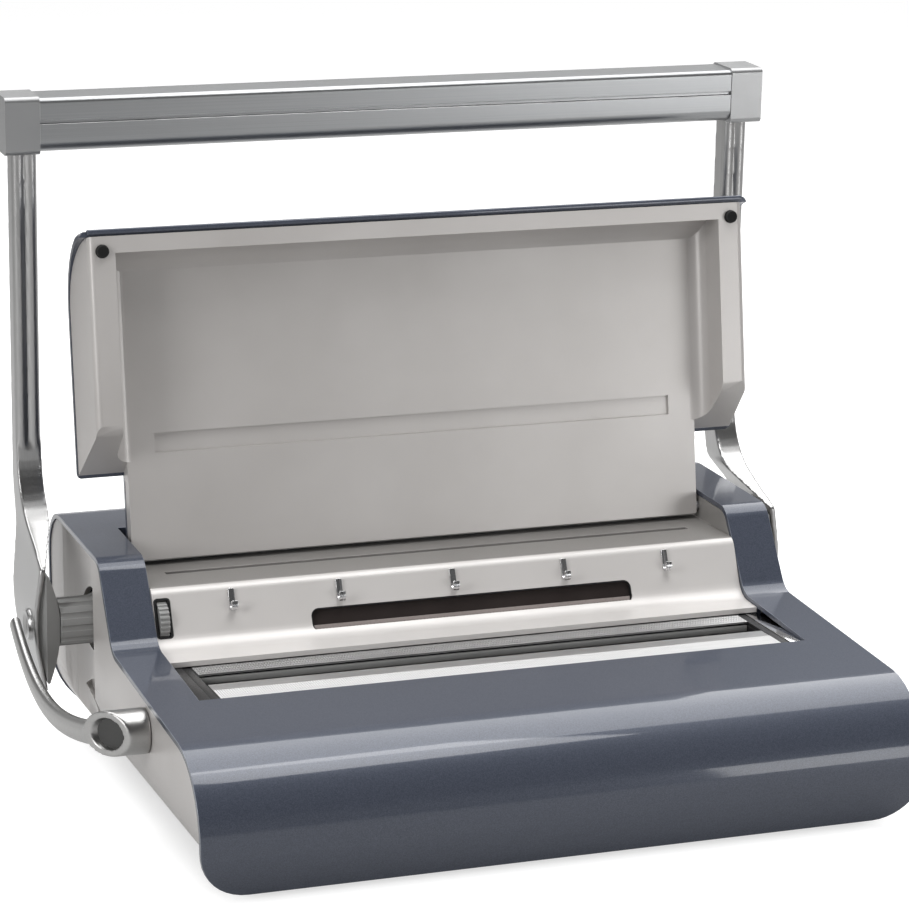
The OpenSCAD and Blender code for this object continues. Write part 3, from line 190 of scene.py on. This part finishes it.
def setFloor():
    bm = bmesh.new()
    bmesh.ops.create_grid(bm, x_segments=1, y_segments=1, size=studio["floorSize"] / 2)
    mesh = bpy.data.meshes.new("studioFloor")
    bm.to_mesh(mesh)
    bm.free()
    floor = bpy.data.objects.new("studioFloor", mesh)
    scene.collection.objects.link(floor)
    mat, tree, shader, reach = startFinish("floorWhite", studio["floorFinish"])
    # distance outside the footprint
    steps = (("ABSOLUTE", None), ("SUBTRACT", studio["footprint"]), ("MAXIMUM", (0.0, 0.0, 0.0)))
    for operation, value in steps:
        step = tree.nodes.new("ShaderNodeVectorMath")
        step.operation = operation
        tree.links.new(reach, step.inputs[0])
        if value:
            step.inputs[1].default_value = value
        reach = step.outputs[0]
    away = tree.nodes.new("ShaderNodeVectorMath")
    away.operation = "LENGTH"
    tree.links.new(reach, away.inputs[0])
    spread = addRange(tree, away.outputs["Value"], (0.0, studio["liftReach"]),
                      (studio["nearLift"], studio["farLift"]), "SMOOTHSTEP")
    lift = addMath(tree, "MULTIPLY", seenRays(tree, studio["mirrorLift"]), spread)
    tree.links.new(lift, shader.inputs["Emission Strength"])
    mesh.materials.append(mat)


setLamps()
setWorld()
setFloor()
scene.view_settings.view_transform = "Standard"
print("studio set")

# shared surface effects
effects = {
    "grain": 1400.0, "grainDetail": 2.0, "toneScale": 14.0, "toneDetail": 3.0,
    "flake": 1500.0,
    "breaks": 60.0, "breakDetail": 4.0, "breakSpan": (0.35, 0.6), "breakDepth": (0.35, 1.0),
    "stretch": (8.0, 2500.0, 2500.0), "lineDetail": 3.0,
    "noiseSpan": (0.3, 0.7),  # where most of a noise's values lie
    "grainDepth": 0.0001, "lineDepth": 0.00005,
}


def newGroup(name, inputs, outputs):
    tree = bpy.data.node_groups.new(name, "ShaderNodeTree")
    for label, kind, value in inputs:
        socket = tree.interface.new_socket(label, in_out="INPUT", socket_type=kind)
        if value is not None:
            socket.default_value = value
    for label, kind in outputs:
        tree.interface.new_socket(label, in_out="OUTPUT", socket_type=kind)
    return tree, tree.nodes.new("NodeGroupInput"), tree.nodes.new("NodeGroupOutput")


def addNoise(tree, place, scale, detail):
    node = tree.nodes.new("ShaderNodeTexNoise")
    node.inputs["Detail"].default_value = detail
    tree.links.new(place, node.inputs["Vector"])
    feed(tree, node.inputs["Scale"], scale)
    return node.outputs["Fac"]


# moulded grain: Height for a bump, Tone for slow changes of shade
def makeGrain():
    tree, given, out = newGroup(
        "mouldGrain",
        [("Place", "NodeSocketVector", None), ("Fineness", "NodeSocketFloat", effects["grain"])],
        [("Height", "NodeSocketFloat"), ("Tone", "NodeSocketFloat")],
    )
    place = given.outputs["Place"]
    fine = addNoise(tree, place, given.outputs["Fineness"], effects["grainDetail"])
    slow = addNoise(tree, place, effects["toneScale"], effects["toneDetail"])
    tree.links.new(fine, out.inputs["Height"])
    tree.links.new(slow, out.inputs["Tone"])
    return tree


# specks of metal in the paint, their lighter colour a painted glint
def makeFlake():
    tree, given, out = newGroup(
        "metalFlake",
        [("Place", "NodeSocketVector", None), ("Fineness", "NodeSocketFloat", effects["flake"])],
        [("Glint", "NodeSocketFloat"), ("Height", "NodeSocketFloat")],
    )
    cells = tree.nodes.new("ShaderNodeTexVoronoi")
    tree.links.new(given.outputs["Place"], cells.inputs["Vector"])
    tree.links.new(given.outputs["Fineness"], cells.inputs["Scale"])
    split = tree.nodes.new("ShaderNodeSeparateColor")
    tree.links.new(cells.outputs["Color"], split.inputs["Color"])
    tree.links.new(split.outputs["Red"], out.inputs["Glint"])
    tree.links.new(split.outputs["Green"], out.inputs["Height"])
    return tree


# edges painted lighter, painted highlight and wear together: the bevelled faces of a piece, broken up a
# little
def makeEdgeHighlight():
    tree, given, out = newGroup(
        "edgeHighlightLine",
        [("Place", "NodeSocketVector", None), ("Breaks", "NodeSocketFloat", effects["breaks"])],
        [("Mask", "NodeSocketFloat")],
    )
    edge = tree.nodes.new("ShaderNodeAttribute")
    edge.attribute_name = "edgeHighlightAndWear"
    noise = addNoise(tree, given.outputs["Place"], given.outputs["Breaks"], effects["breakDetail"])
    broken = addRange(tree, noise, effects["breakSpan"], effects["breakDepth"])
    tree.links.new(addMath(tree, "MULTIPLY", edge.outputs["Fac"], broken), out.inputs["Mask"])
    return tree


# long fine lines of brushed or drawn metal, drawn out along one axis
def makeBrush():
    tree, given, out = newGroup(
        "drawnLines",
        [("Place", "NodeSocketVector", None), ("Stretch", "NodeSocketVector", effects["stretch"])],
        [("Lines", "NodeSocketFloat")],
    )
    scaled = tree.nodes.new("ShaderNodeVectorMath")
    scaled.operation = "MULTIPLY"
    tree.links.new(given.outputs["Place"], scaled.inputs[0])
    tree.links.new(given.outputs["Stretch"], scaled.inputs[1])
    tree.links.new(addNoise(tree, scaled.outputs[0], 1.0, effects["lineDetail"]), out.inputs["Lines"])
    return tree


grainGroup, flakeGroup, edgeHighlightGroup, brushGroup = makeGrain(), makeFlake(), makeEdgeHighlight(), makeBrush()


# finishes
def addGroup(tree, group, place, **values):
    node = tree.nodes.new("ShaderNodeGroup")
    node.node_tree = group
    tree.links.new(place, node.inputs["Place"])
    for socket, value in values.items():
        node.inputs[socket].default_value = value
    return node


def addMix(tree, mask, first, second):
    node = tree.nodes.new("ShaderNodeMix")
    node.data_type = "RGBA"
    tree.links.new(mask, node.inputs["Factor"])
    for label, value in (("A", first), ("B", second)):
        feed(tree, next(s for s in node.inputs if s.name == label and s.type == "RGBA"), value)
    return next(s for s in node.outputs if s.type == "RGBA")


def addBump(tree, shader, height, strength, distance):
    bump = tree.nodes.new("ShaderNodeBump")
    bump.inputs["Strength"].default_value = strength
    bump.inputs["Distance"].default_value = distance
    tree.links.new(height, bump.inputs["Height"])
    tree.links.new(bump.outputs["Normal"], shader.inputs["Normal"])


# two shades under an edge painted lighter (painted highlight and wear), and a roughness that follows a noise
def addSurface(tree, shader, place, look, shade, wear):
    edge = addGroup(tree, edgeHighlightGroup, place)
    body = addMix(tree, shade, look["dark"], look["light"])
    colour = addMix(tree, edge.outputs["Mask"], body, look["edge"])
    rough = addRange(tree, wear, effects["noiseSpan"], look["roughness"])
    tree.links.new(colour, shader.inputs["Base Color"])
    tree.links.new(rough, shader.inputs["Roughness"])


# painted sheet with flake under a clear coat
def paintFinish(name, look):
    mat, tree, shader, place = startFinish(name, {
        "Metallic": look["metallic"], "Specular IOR Level": look["specular"],
        "Coat Weight": look["coat"], "Coat Roughness": look["coatRoughness"],
    })
    flake = addGroup(tree, flakeGroup, place, Fineness=look["flakes"])
    grain = addGroup(tree, grainGroup, place, Fineness=look["flakes"])
    addSurface(tree, shader, place, look, flake.outputs["Glint"], grain.outputs["Tone"])
    addBump(tree, shader, flake.outputs["Height"], look["bump"], effects["grainDepth"])
    return mat


# moulded plastic or rubber
def mouldedFinish(name, look):
    mat, tree, shader, place = startFinish(name, {
        "Metallic": look.get("metallic", 0.0), "Specular IOR Level": look.get("specular", 0.5),
    })
    grain = addGroup(tree, grainGroup, place, Fineness=look["grain"])
    tone = addRange(tree, grain.outputs["Tone"], effects["noiseSpan"], (0.0, 1.0))
    addSurface(tree, shader, place, look, tone, grain.outputs["Height"])
    addBump(tree, shader, grain.outputs["Height"], look["bump"], effects["grainDepth"])
    return mat


# drawn, brushed or polished metal
def metalFinish(name, look):
    mat, tree, shader, place = startFinish(name, {"Metallic": 1.0})
    brush = addGroup(tree, brushGroup, place, Stretch=look["stretch"])
    lines = addRange(tree, brush.outputs["Lines"], effects["noiseSpan"], (0.0, 1.0))
    addSurface(tree, shader, place, look, lines, brush.outputs["Lines"])
    addBump(tree, shader, brush.outputs["Lines"], look["bump"], effects["lineDepth"])
    return mat


finishes = {
    "slate_paint": paintFinish("slatePaint", {
        "dark": (0.05, 0.058, 0.08, 1), "light": (0.074, 0.084, 0.112, 1), "edge": (0.2, 0.22, 0.26, 1),
        "metallic": 0.15, "specular": 0.14, "roughness": (0.3, 0.34), "coat": 0.7, "coatRoughness": 0.06,
        "flakes": 2600.0, "bump": 0.01,
    }),
    "warm_grey_plastic": mouldedFinish("warmGreyPlastic", {
        "dark": (0.45, 0.43, 0.415, 1), "light": (0.5, 0.48, 0.465, 1), "edge": (0.62, 0.6, 0.58, 1),
        "metallic": 0.15, "specular": 0.6, "roughness": (0.28, 0.36), "grain": 1600.0, "bump": 0.05,
    }),
    "dark_grey_plastic": mouldedFinish("darkGreyPlastic", {
        "dark": (0.24, 0.24, 0.235, 1), "light": (0.28, 0.28, 0.275, 1), "edge": (0.46, 0.46, 0.46, 1),
        "roughness": (0.36, 0.5), "grain": 1400.0, "bump": 0.1,
    }),
    "smoked_plastic": mouldedFinish("smokedPane", {
        "dark": (0.026, 0.021, 0.02, 1), "light": (0.042, 0.034, 0.032, 1), "edge": (0.09, 0.08, 0.08, 1),
        "specular": 0.3, "roughness": (0.06, 0.1), "grain": 300.0, "bump": 0.004,
    }),
    "black_plastic": mouldedFinish("blackPlastic", {
        "dark": (0.008, 0.008, 0.009, 1), "light": (0.014, 0.014, 0.015, 1), "edge": (0.04, 0.04, 0.04, 1),
        "roughness": (0.35, 0.5), "grain": 1200.0, "bump": 0.12,
    }),
    "black_rubber": mouldedFinish("blackRubber", {
        "dark": (0.006, 0.006, 0.006, 1), "light": (0.01, 0.01, 0.01, 1), "edge": (0.02, 0.02, 0.02, 1),
        "specular": 0.2, "roughness": (0.55, 0.75), "grain": 900.0, "bump": 0.25,
    }),
    "silver_plastic": mouldedFinish("silverPlastic", {
        "dark": (0.28, 0.282, 0.285, 1), "light": (0.33, 0.332, 0.335, 1), "edge": (0.5, 0.5, 0.51, 1),
        "metallic": 0.7, "roughness": (0.3, 0.38), "grain": 2600.0, "bump": 0.06,
    }),
    "satin_aluminium": metalFinish("satinAluminium", {
        "dark": (0.28, 0.285, 0.29, 1), "light": (0.31, 0.315, 0.32, 1), "edge": (0.6, 0.6, 0.61, 1),
        "roughness": (0.3, 0.36), "stretch": (6.0, 2500.0, 2500.0), "bump": 0.03,
    }),
    "polished_silver": metalFinish("polishedSilver", {
        "dark": (0.34, 0.338, 0.335, 1), "light": (0.38, 0.378, 0.375, 1), "edge": (0.6, 0.6, 0.61, 1),
        "roughness": (0.28, 0.34), "stretch": (1500.0, 1500.0, 8.0), "bump": 0.01,
    }),
    "bright_chrome": metalFinish("brightChrome", {
        "dark": (0.74, 0.74, 0.75, 1), "light": (0.84, 0.84, 0.85, 1), "edge": (0.92, 0.92, 0.92, 1),
        "roughness": (0.08, 0.16), "stretch": (10.0, 1800.0, 1800.0), "bump": 0.02,
    }),
    "frame_steel": metalFinish("frameSteel", {
        "dark": (0.42, 0.42, 0.43, 1), "light": (0.55, 0.55, 0.56, 1), "edge": (0.7, 0.7, 0.7, 1),
        "roughness": (0.25, 0.4), "stretch": (12.0, 1500.0, 1500.0), "bump": 0.05,
    }),
}
hookChrome = metalFinish("hookChrome", {
    "dark": (0.58, 0.58, 0.59, 1), "light": (0.66, 0.66, 0.67, 1), "edge": (0.85, 0.85, 0.85, 1),
    "roughness": (0.22, 0.3), "stretch": (900.0, 10.0, 10.0), "bump": 0.02,
})
# darker copy of the dark grey plastic: painted shade of the lever cap's recessed dish
capShadedPlastic = mouldedFinish("capShadedPlastic", {
    "dark": (0.035, 0.035, 0.034, 1), "light": (0.05, 0.05, 0.048, 1), "edge": (0.12, 0.12, 0.12, 1),
    "roughness": (0.4, 0.5), "grain": 1500.0, "bump": 0.08,
})
leverNickel = metalFinish("leverNickel", {
    "dark": (0.38, 0.377, 0.37, 1), "light": (0.41, 0.407, 0.4, 1), "edge": (0.7, 0.7, 0.7, 1),
    "roughness": (0.3, 0.36), "stretch": (900.0, 900.0, 900.0), "bump": 0.008,
})
knurledSteel = metalFinish("knurledSteel", {
    "dark": (0.38, 0.38, 0.38, 1), "light": (0.46, 0.46, 0.46, 1), "edge": (0.65, 0.65, 0.65, 1),
    "roughness": (0.36, 0.48), "stretch": (30.0, 900.0, 900.0), "bump": 0.02,
})
# lighter copy of the warm grey plastic: painted light for the top light on the cover's slope and foot
coverLitPlastic = mouldedFinish("coverLitPlastic", {
    "dark": (0.56, 0.54, 0.525, 1), "light": (0.6, 0.58, 0.565, 1), "edge": (0.68, 0.66, 0.64, 1),
    "metallic": 0.1, "specular": 0.6, "roughness": (0.3, 0.36), "grain": 1600.0, "bump": 0.012,
})
# darker copy of the warm grey plastic: painted shade of the lid standing over the throat ledge and the
# cover's level top
ledgeShadedPlastic = mouldedFinish("ledgeShadedPlastic", {
    "dark": (0.25, 0.24, 0.23, 1), "light": (0.28, 0.27, 0.26, 1), "edge": (0.42, 0.4, 0.39, 1),
    "metallic": 0.15, "roughness": (0.3, 0.38), "grain": 1600.0, "bump": 0.05,
})
scaleStrip = mouldedFinish("scaleStrip", {
    "dark": (0.26, 0.225, 0.212, 1), "light": (0.32, 0.28, 0.265, 1), "edge": (0.36, 0.32, 0.3, 1),
    "roughness": (0.25, 0.35), "grain": 900.0, "bump": 0.02,
})
ownFinish = {
    "wire_hooks": hookChrome, "lever_cap": capShadedPlastic, "wire_lever": leverNickel,
    "punch_cover": coverLitPlastic, "throat_ledge": ledgeShadedPlastic,
}
print("finishes made")

nodeSlots = {p["node"]: p["material_slot"] for p in frame["record"]["subparts"]}
nodeBodies = {n: b for b, members in frame["record"]["behaviour"]["bodies"].items() for n in members}
for name, item in frame["nodes"].items():
    item.data.materials.clear()
    item.data.materials.append(ownFinish.get(name, finishes[nodeSlots[name]]))

# CAD pieces with their edges broken, as moulded and machined pieces have them: width and segments
softEdges = {
    "top_shell": (0.0008, 3), "left_cheek": (0.0006, 2), "right_cheek": (0.0006, 2),
    "punch_cover": (0.0005, 2), "throat_ledge": (0.0005, 2), "handle_bar": (0.0003, 2),
    "left_end_block": (0.001, 3), "right_end_block": (0.001, 3),
    "left_hub_cover": (0.0006, 2), "right_hub_cover": (0.0006, 2), "hub_bolts": (0.0005, 2),
    "lid_shell": (0.0008, 3), "lid_liner": (0.0008, 3), "closer_bar": (0.0003, 2),
    "anvil_bar": (0.0003, 2), "slot_ends": (0.0003, 2), "slot_brackets": (0.0003, 2),
    "wire_hooks": (0.0002, 2), "guide_wheel": (0.0002, 2), "chip_drawer": (0.0005, 2),
    "base_pan": (0.0005, 2), "rubber_feet": (0.0006, 2), "lid_bumpers": (0.0006, 2),
    "hub_collars": (0.0003, 2), "lever_cap": (0.0004, 2),
}
shadedLevelFaces = {
    "finish": {"punch_cover": ledgeShadedPlastic},  # darker ledge finish, painted shade, for the faces that lie level, high on the piece
    "upright": 0.95, "lowest": 0.1,
}
sharpAngle = math.radians(32)
flatAngle = math.radians(0.15)
weldGap = 0.000002


def finishMesh(bm, name, slot, finish=None, sharp=sharpAngle):
    mesh = bpy.data.meshes.new(name)
    bm.to_mesh(mesh)
    bm.free()
    mesh.shade_smooth()
    mesh.set_sharp_from_angle(angle=sharp)
    mesh.materials.append(finish or finishes[slot])
    item = bpy.data.objects.new(name, mesh)
    scene.collection.objects.link(item)
    return item


def copyNode(node):
    bm = bmesh.new()
    bm.from_mesh(frame["nodes"][node].data)
    bmesh.ops.remove_doubles(bm, verts=bm.verts, dist=weldGap)
    return bm


def softCopy(node, width, segments):
    bm = copyNode(node)
    edgeHighlightAndWear = bm.faces.layers.float.new("edgeHighlightAndWear")
    bmesh.ops.dissolve_limit(bm, angle_limit=flatAngle, verts=bm.verts, edges=bm.edges)
    hard = [e for e in bm.edges if len(e.link_faces) == 2 and e.calc_face_angle(0.0) > sharpAngle]
    made = bmesh.ops.bevel(bm, geom=hard, offset=width, offset_type="OFFSET", segments=segments,
                           profile=0.5, affect="EDGES", material=-1, clamp_overlap=True)
    # the bevel faces take the lighter edge colour: painted highlight and wear
    for face in made["faces"]:
        face[edgeHighlightAndWear] = 1.0
    level = shadedLevelFaces["finish"].get(node)
    if level:
        # level faces high on the piece take the darker ledge finish: painted shade
        bm.normal_update()
        for face in bm.faces:
            high = face.calc_center_median().z > shadedLevelFaces["lowest"]
            face.material_index = int(high and face.normal.z > shadedLevelFaces["upright"])
    item = finishMesh(bm, node + "Soft", nodeSlots[node], ownFinish.get(node))
    if level:
        item.data.materials.append(level)
    even = item.modifiers.new("evenShade", "WEIGHTED_NORMAL")
    even.keep_sharp = True
    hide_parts(node)
    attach(item, nodeBodies[node])


for node, (width, segments) in softEdges.items():
    softCopy(node, width, segments)
print("edges broken on", len(softEdges), "pieces")

# cast pieces, whose forms run into each other
castPieces = {
    "voxel": {"left_arm": 0.0009, "right_arm": 0.0009, "wire_lever": 0.0007},
    "passes": 8,
    "strength": 0.5,
}


def castCopy(node, voxel):
    item = finishMesh(copyNode(node), node + "Cast", nodeSlots[node], ownFinish.get(node))
    remesh = item.modifiers.new("castSkin", "REMESH")
    remesh.mode = "VOXEL"
    remesh.voxel_size = voxel
    remesh.use_smooth_shade = True
    ease = item.modifiers.new("castEase", "SMOOTH")
    ease.factor = castPieces["strength"]
    ease.iterations = castPieces["passes"]
    shaped = item.evaluated_get(bpy.context.evaluated_depsgraph_get())
    skin = bpy.data.meshes.new_from_object(shaped)
    item.modifiers.clear()
    item.data = skin
    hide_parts(node)
    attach(item, nodeBodies[node])


for node, voxel in castPieces["voxel"].items():
    castCopy(node, voxel)
print("cast pieces made")


# shaping helpers for the added pieces
def addBlock(bm, low, high, soft=0.0, segments=2):
    low, high = Vector(low), Vector(high)
    place = Matrix.Translation((low + high) / 2) @ Matrix.Diagonal((*(high - low), 1.0))
    made = bmesh.ops.create_cube(bm, size=1.0, matrix=place)
    if soft:
        edges = list(dict.fromkeys(e for v in made["verts"] for e in v.link_edges))
        bmesh.ops.bevel(bm, geom=edges, offset=soft, offset_type="OFFSET", segments=segments,
                        profile=0.5, affect="EDGES", material=-1, clamp_overlap=True)


# block whose top is a field of small pyramids
def addKnurl(bm, low, high, cells, height):
    low, high = Vector(low), Vector(high)
    top = Vector(((low.x + high.x) / 2, (low.y + high.y) / 2, high.z))
    place = Matrix.Translation(top) @ Matrix.Diagonal((high.x - low.x, high.y - low.y, 1.0, 1.0))
    made = bmesh.ops.create_grid(bm, x_segments=cells[0], y_segments=cells[1], size=0.5, matrix=place)
    faces = list(dict.fromkeys(f for v in made["verts"] for f in v.link_faces))
    rim = list(dict.fromkeys(e for v in made["verts"] for e in v.link_edges if e.is_boundary))
    bmesh.ops.poke(bm, faces=faces, offset=height, center_mode="MEAN")
    skirt = bmesh.ops.extrude_edge_only(bm, edges=rim)["geom"]
    foot = [v for v in skirt if isinstance(v, bmesh.types.BMVert)]
    bmesh.ops.translate(bm, verts=foot, vec=(0.0, 0.0, low.z - high.z))
    hem = [e for e in skirt if isinstance(e, bmesh.types.BMEdge) and e.is_boundary]
    bmesh.ops.edgeloop_fill(bm, edges=hem)


# flat frame with rounded corners, its top at the middle's height
def addRing(bm, middle, size, look):
    place = Matrix.Translation(middle) @ Matrix.Diagonal((*size, 1.0, 1.0))
    bmesh.ops.create_grid(bm, x_segments=1, y_segments=1, size=0.5, matrix=place)
    bmesh.ops.bevel(bm, geom=bm.verts[:], offset=look["corner"], offset_type="OFFSET",
                    segments=look["cornerSegments"], profile=0.5, affect="VERTICES", material=-1)
    inner = list(bm.faces)
    bmesh.ops.inset_region(bm, faces=inner, thickness=look["across"], use_even_offset=True, use_boundary=True)
    bmesh.ops.delete(bm, geom=inner, context="FACES_ONLY")
    ring = bmesh.ops.extrude_face_region(bm, geom=bm.faces[:], use_keep_orig=True)["geom"]
    lower = [v for v in ring if isinstance(v, bmesh.types.BMVert)]
    bmesh.ops.translate(bm, verts=lower, vec=(0.0, 0.0, -look["depth"]))


def addPiece(bm, name, slot, body, finish=None, sharp=sharpAngle):
    bmesh.ops.recalc_face_normals(bm, faces=bm.faces)
    item = finishMesh(bm, name, slot, finish, sharp)
    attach(item, body)


# ribbed plates on the jaws of the wire slot, with the narrow slits between them
wireSlot = {
    "top": 0.079, "soft": 0.0003,
    "closerKnurl": 0.0176, "closerCells": (230, 12), "closerRear": 0.0022,  # knurl's depth, bare rear edge
    "anvilReach": 0.0021, "anvilRear": 0.0014, "anvilCells": (204, 4), "plate": 0.0011,
    "stripHigh": 0.0008, "stripLow": 0.0028, "riserSet": 0.0035,
    "knurlHeight": 0.0004, "ridgeHeight": 0.0005, "knurlSharp": math.radians(8),
    "endTop": 0.0789, "endGap": 0.0003, "endFront": 0.0005, "endRear": 0.0014, "endSoft": 0.0004,
    "bracketTop": 0.0793, "bracketGap": 0.0002, "bracketSide": 0.1761,
}


def makeJaws():
    look = wireSlot
    top, plateFoot = look["top"], look["top"] - look["plate"]
    low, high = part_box("closer_bar")
    inner = high[0] + look["endGap"]
    split = low[1] + look["closerKnurl"]
    bm = bmesh.new()
    addKnurl(bm, (low[0], low[1], high[2]), (high[0], split, top), look["closerCells"], look["knurlHeight"])
    addBlock(bm, (low[0], split, high[2]), (high[0], high[1] - look["closerRear"], top), look["soft"])
    addPiece(bm, "closerPlate", "bright_chrome", "closer", knurledSteel, look["knurlSharp"])

    low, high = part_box("anvil_bar")
    rear = high[1] - look["anvilRear"]
    front = low[1] - look["anvilReach"]
    bm = bmesh.new()
    addKnurl(bm, (low[0], front, plateFoot), (high[0], rear, top), look["anvilCells"], look["ridgeHeight"])
    addPiece(bm, "anvilPlate", "bright_chrome", "machine", knurledSteel, look["knurlSharp"])
    # riser set back under the plate, where the plate's shadow falls, and coloured black: painted shade of the
    # slit under the plate's front edge
    bm = bmesh.new()
    addBlock(bm, (low[0], low[1] + look["riserSet"], high[2]), (high[0], rear, plateFoot))
    addPiece(bm, "anvilRiser", "black_plastic", "machine")
    bm = bmesh.new()
    addBlock(bm, (low[0], front, high[2] - look["stripLow"]),
             (high[0], low[1], high[2] + look["stripHigh"]), look["soft"])
    addPiece(bm, "anvilStrip", "dark_grey_plastic", "machine")

    low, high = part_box("slot_ends")
    outer = high[0] + look["bracketGap"]
    for name, slot, nearX, farX, endTop in (
            ("leftEndTop", "black_plastic", -high[0], -inner, look["endTop"]),
            ("rightEndTop", "black_plastic", inner, high[0], look["endTop"]),
            # the left bracket's top is black where the right one is chrome: painted shade at the slot's left
            # end
            ("leftBracketTop", "black_plastic", -look["bracketSide"], -outer, look["bracketTop"]),
            ("rightBracketTop", "bright_chrome", outer, look["bracketSide"], look["bracketTop"])):
        bm = bmesh.new()
        addBlock(bm, (nearX, low[1] + look["endFront"], high[2]),
                 (farX, high[1] - look["endRear"], endTop), look["endSoft"])
        addPiece(bm, name, slot, "machine")


makeJaws()
print("jaws dressed")

# lie of the punch cover's slope
coverSlope = {"foot": (0.0, 0.0163, 0.0835), "degrees": 67.0}
coverTurn = Matrix.Rotation(math.radians(coverSlope["degrees"]), 4, "X")
onCover = Matrix.Translation(coverSlope["foot"]) @ coverTurn

# rim, paper scale and ticks of the view window
windowTrim = {
    "middle": (0.011, 0.009), "size": (0.194, 0.0135), "fit": 0.0001, "pane": -0.0025,
    "rimTop": -0.0002, "across": 0.0006, "depth": 0.0019, "corner": 0.0045, "cornerSegments": 8,
    "bandHigh": 0.0034, "bandThick": 0.0017, "bandSoft": 0.0001,
    "tickPitch": 0.002, "tickSize": (0.0004, 0.0013), "tickFoot": 0.0002, "tickThick": 0.00008,
}


def makeWindowTrim():
    look = windowTrim
    (middleX, middleY), (wide, tall) = look["middle"], look["size"]
    bm = bmesh.new()
    addRing(bm, (middleX, middleY, look["rimTop"]), (wide - look["fit"], tall - look["fit"]), look)
    bmesh.ops.transform(bm, matrix=onCover, verts=bm.verts)
    addPiece(bm, "windowRim", "black_plastic", "machine")

    left, right = middleX - wide / 2 + look["across"] * 2, middleX + wide / 2 - look["across"] * 2
    bottom = middleY - tall / 2 + look["across"]
    band = look["pane"] + look["bandThick"]
    bm = bmesh.new()
    addBlock(bm, (left, bottom, look["pane"]), (right, bottom + look["bandHigh"], band), look["bandSoft"], 1)
    bmesh.ops.transform(bm, matrix=onCover, verts=bm.verts)
    addPiece(bm, "scaleBand", "smoked_plastic", "machine", scaleStrip)

    bm = bmesh.new()
    tickWide, tickTall = look["tickSize"]
    for i in range(int((right - left) / look["tickPitch"])):
        x = left + (i + 0.5) * look["tickPitch"]
        addBlock(bm, (x, bottom + look["tickFoot"], band),
                 (x + tickWide, bottom + tickTall, band + look["tickThick"]))
    bmesh.ops.transform(bm, matrix=onCover, verts=bm.verts)
    addPiece(bm, "scaleTicks", "black_plastic", "machine")


makeWindowTrim()
print("window trimmed")

# black rim laid on the cover round the opening that the guide wheel shows through: painted shade of the gap
# round the wheel
wheelGapShade = {
    "clear": 0.0008, "across": 0.0013, "along": 0.0016, "corner": 0.0022, "cornerSegments": 6,
    "rise": 0.0003, "depth": 0.0009,
}


def makeWheelGapShade():
    look = wheelGapShade
    low, high = (Vector(corner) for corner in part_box("guide_wheel"))
    axis = onCover.inverted() @ ((low + high) / 2)
    radius = (high.z - low.z) / 2 + look["clear"]
    reach = math.sqrt(radius ** 2 - axis.z ** 2)  # half of the wheel's slot along the slope
    wide = high.x - low.x + 2 * (look["clear"] + look["across"])
    bm = bmesh.new()
    addRing(bm, (axis.x, axis.y, look["rise"]), (wide, 2 * (reach + look["along"])), look)
    bmesh.ops.transform(bm, matrix=onCover, verts=bm.verts)
    addPiece(bm, "wheelGapShade", "black_plastic", "machine")


makeWheelGapShade()
print("wheel framed")

# dark bead along the lid's top edge, in the lid's own lean
lidBead = {
    "hinge": (0.0, 0.084, 0.1225), "lean": 6.7, "half": 0.1975, "front": -0.0324, "rear": -0.0285,
    "low": 0.1838, "high": 0.1867, "soft": 0.0009, "segments": 3,
}


def makeLidBead():
    look = lidBead
    onLid = Matrix.Translation(look["hinge"]) @ Matrix.Rotation(math.radians(-look["lean"]), 4, "X")
    bm = bmesh.new()
    addBlock(bm, (-look["half"], look["front"], look["low"]), (look["half"], look["rear"], look["high"]),
             look["soft"], look["segments"])
    bmesh.ops.transform(bm, matrix=onLid, verts=bm.verts)
    addPiece(bm, "lidBead", "slate_paint", "lid")


makeLidBead()
print("lid edged")
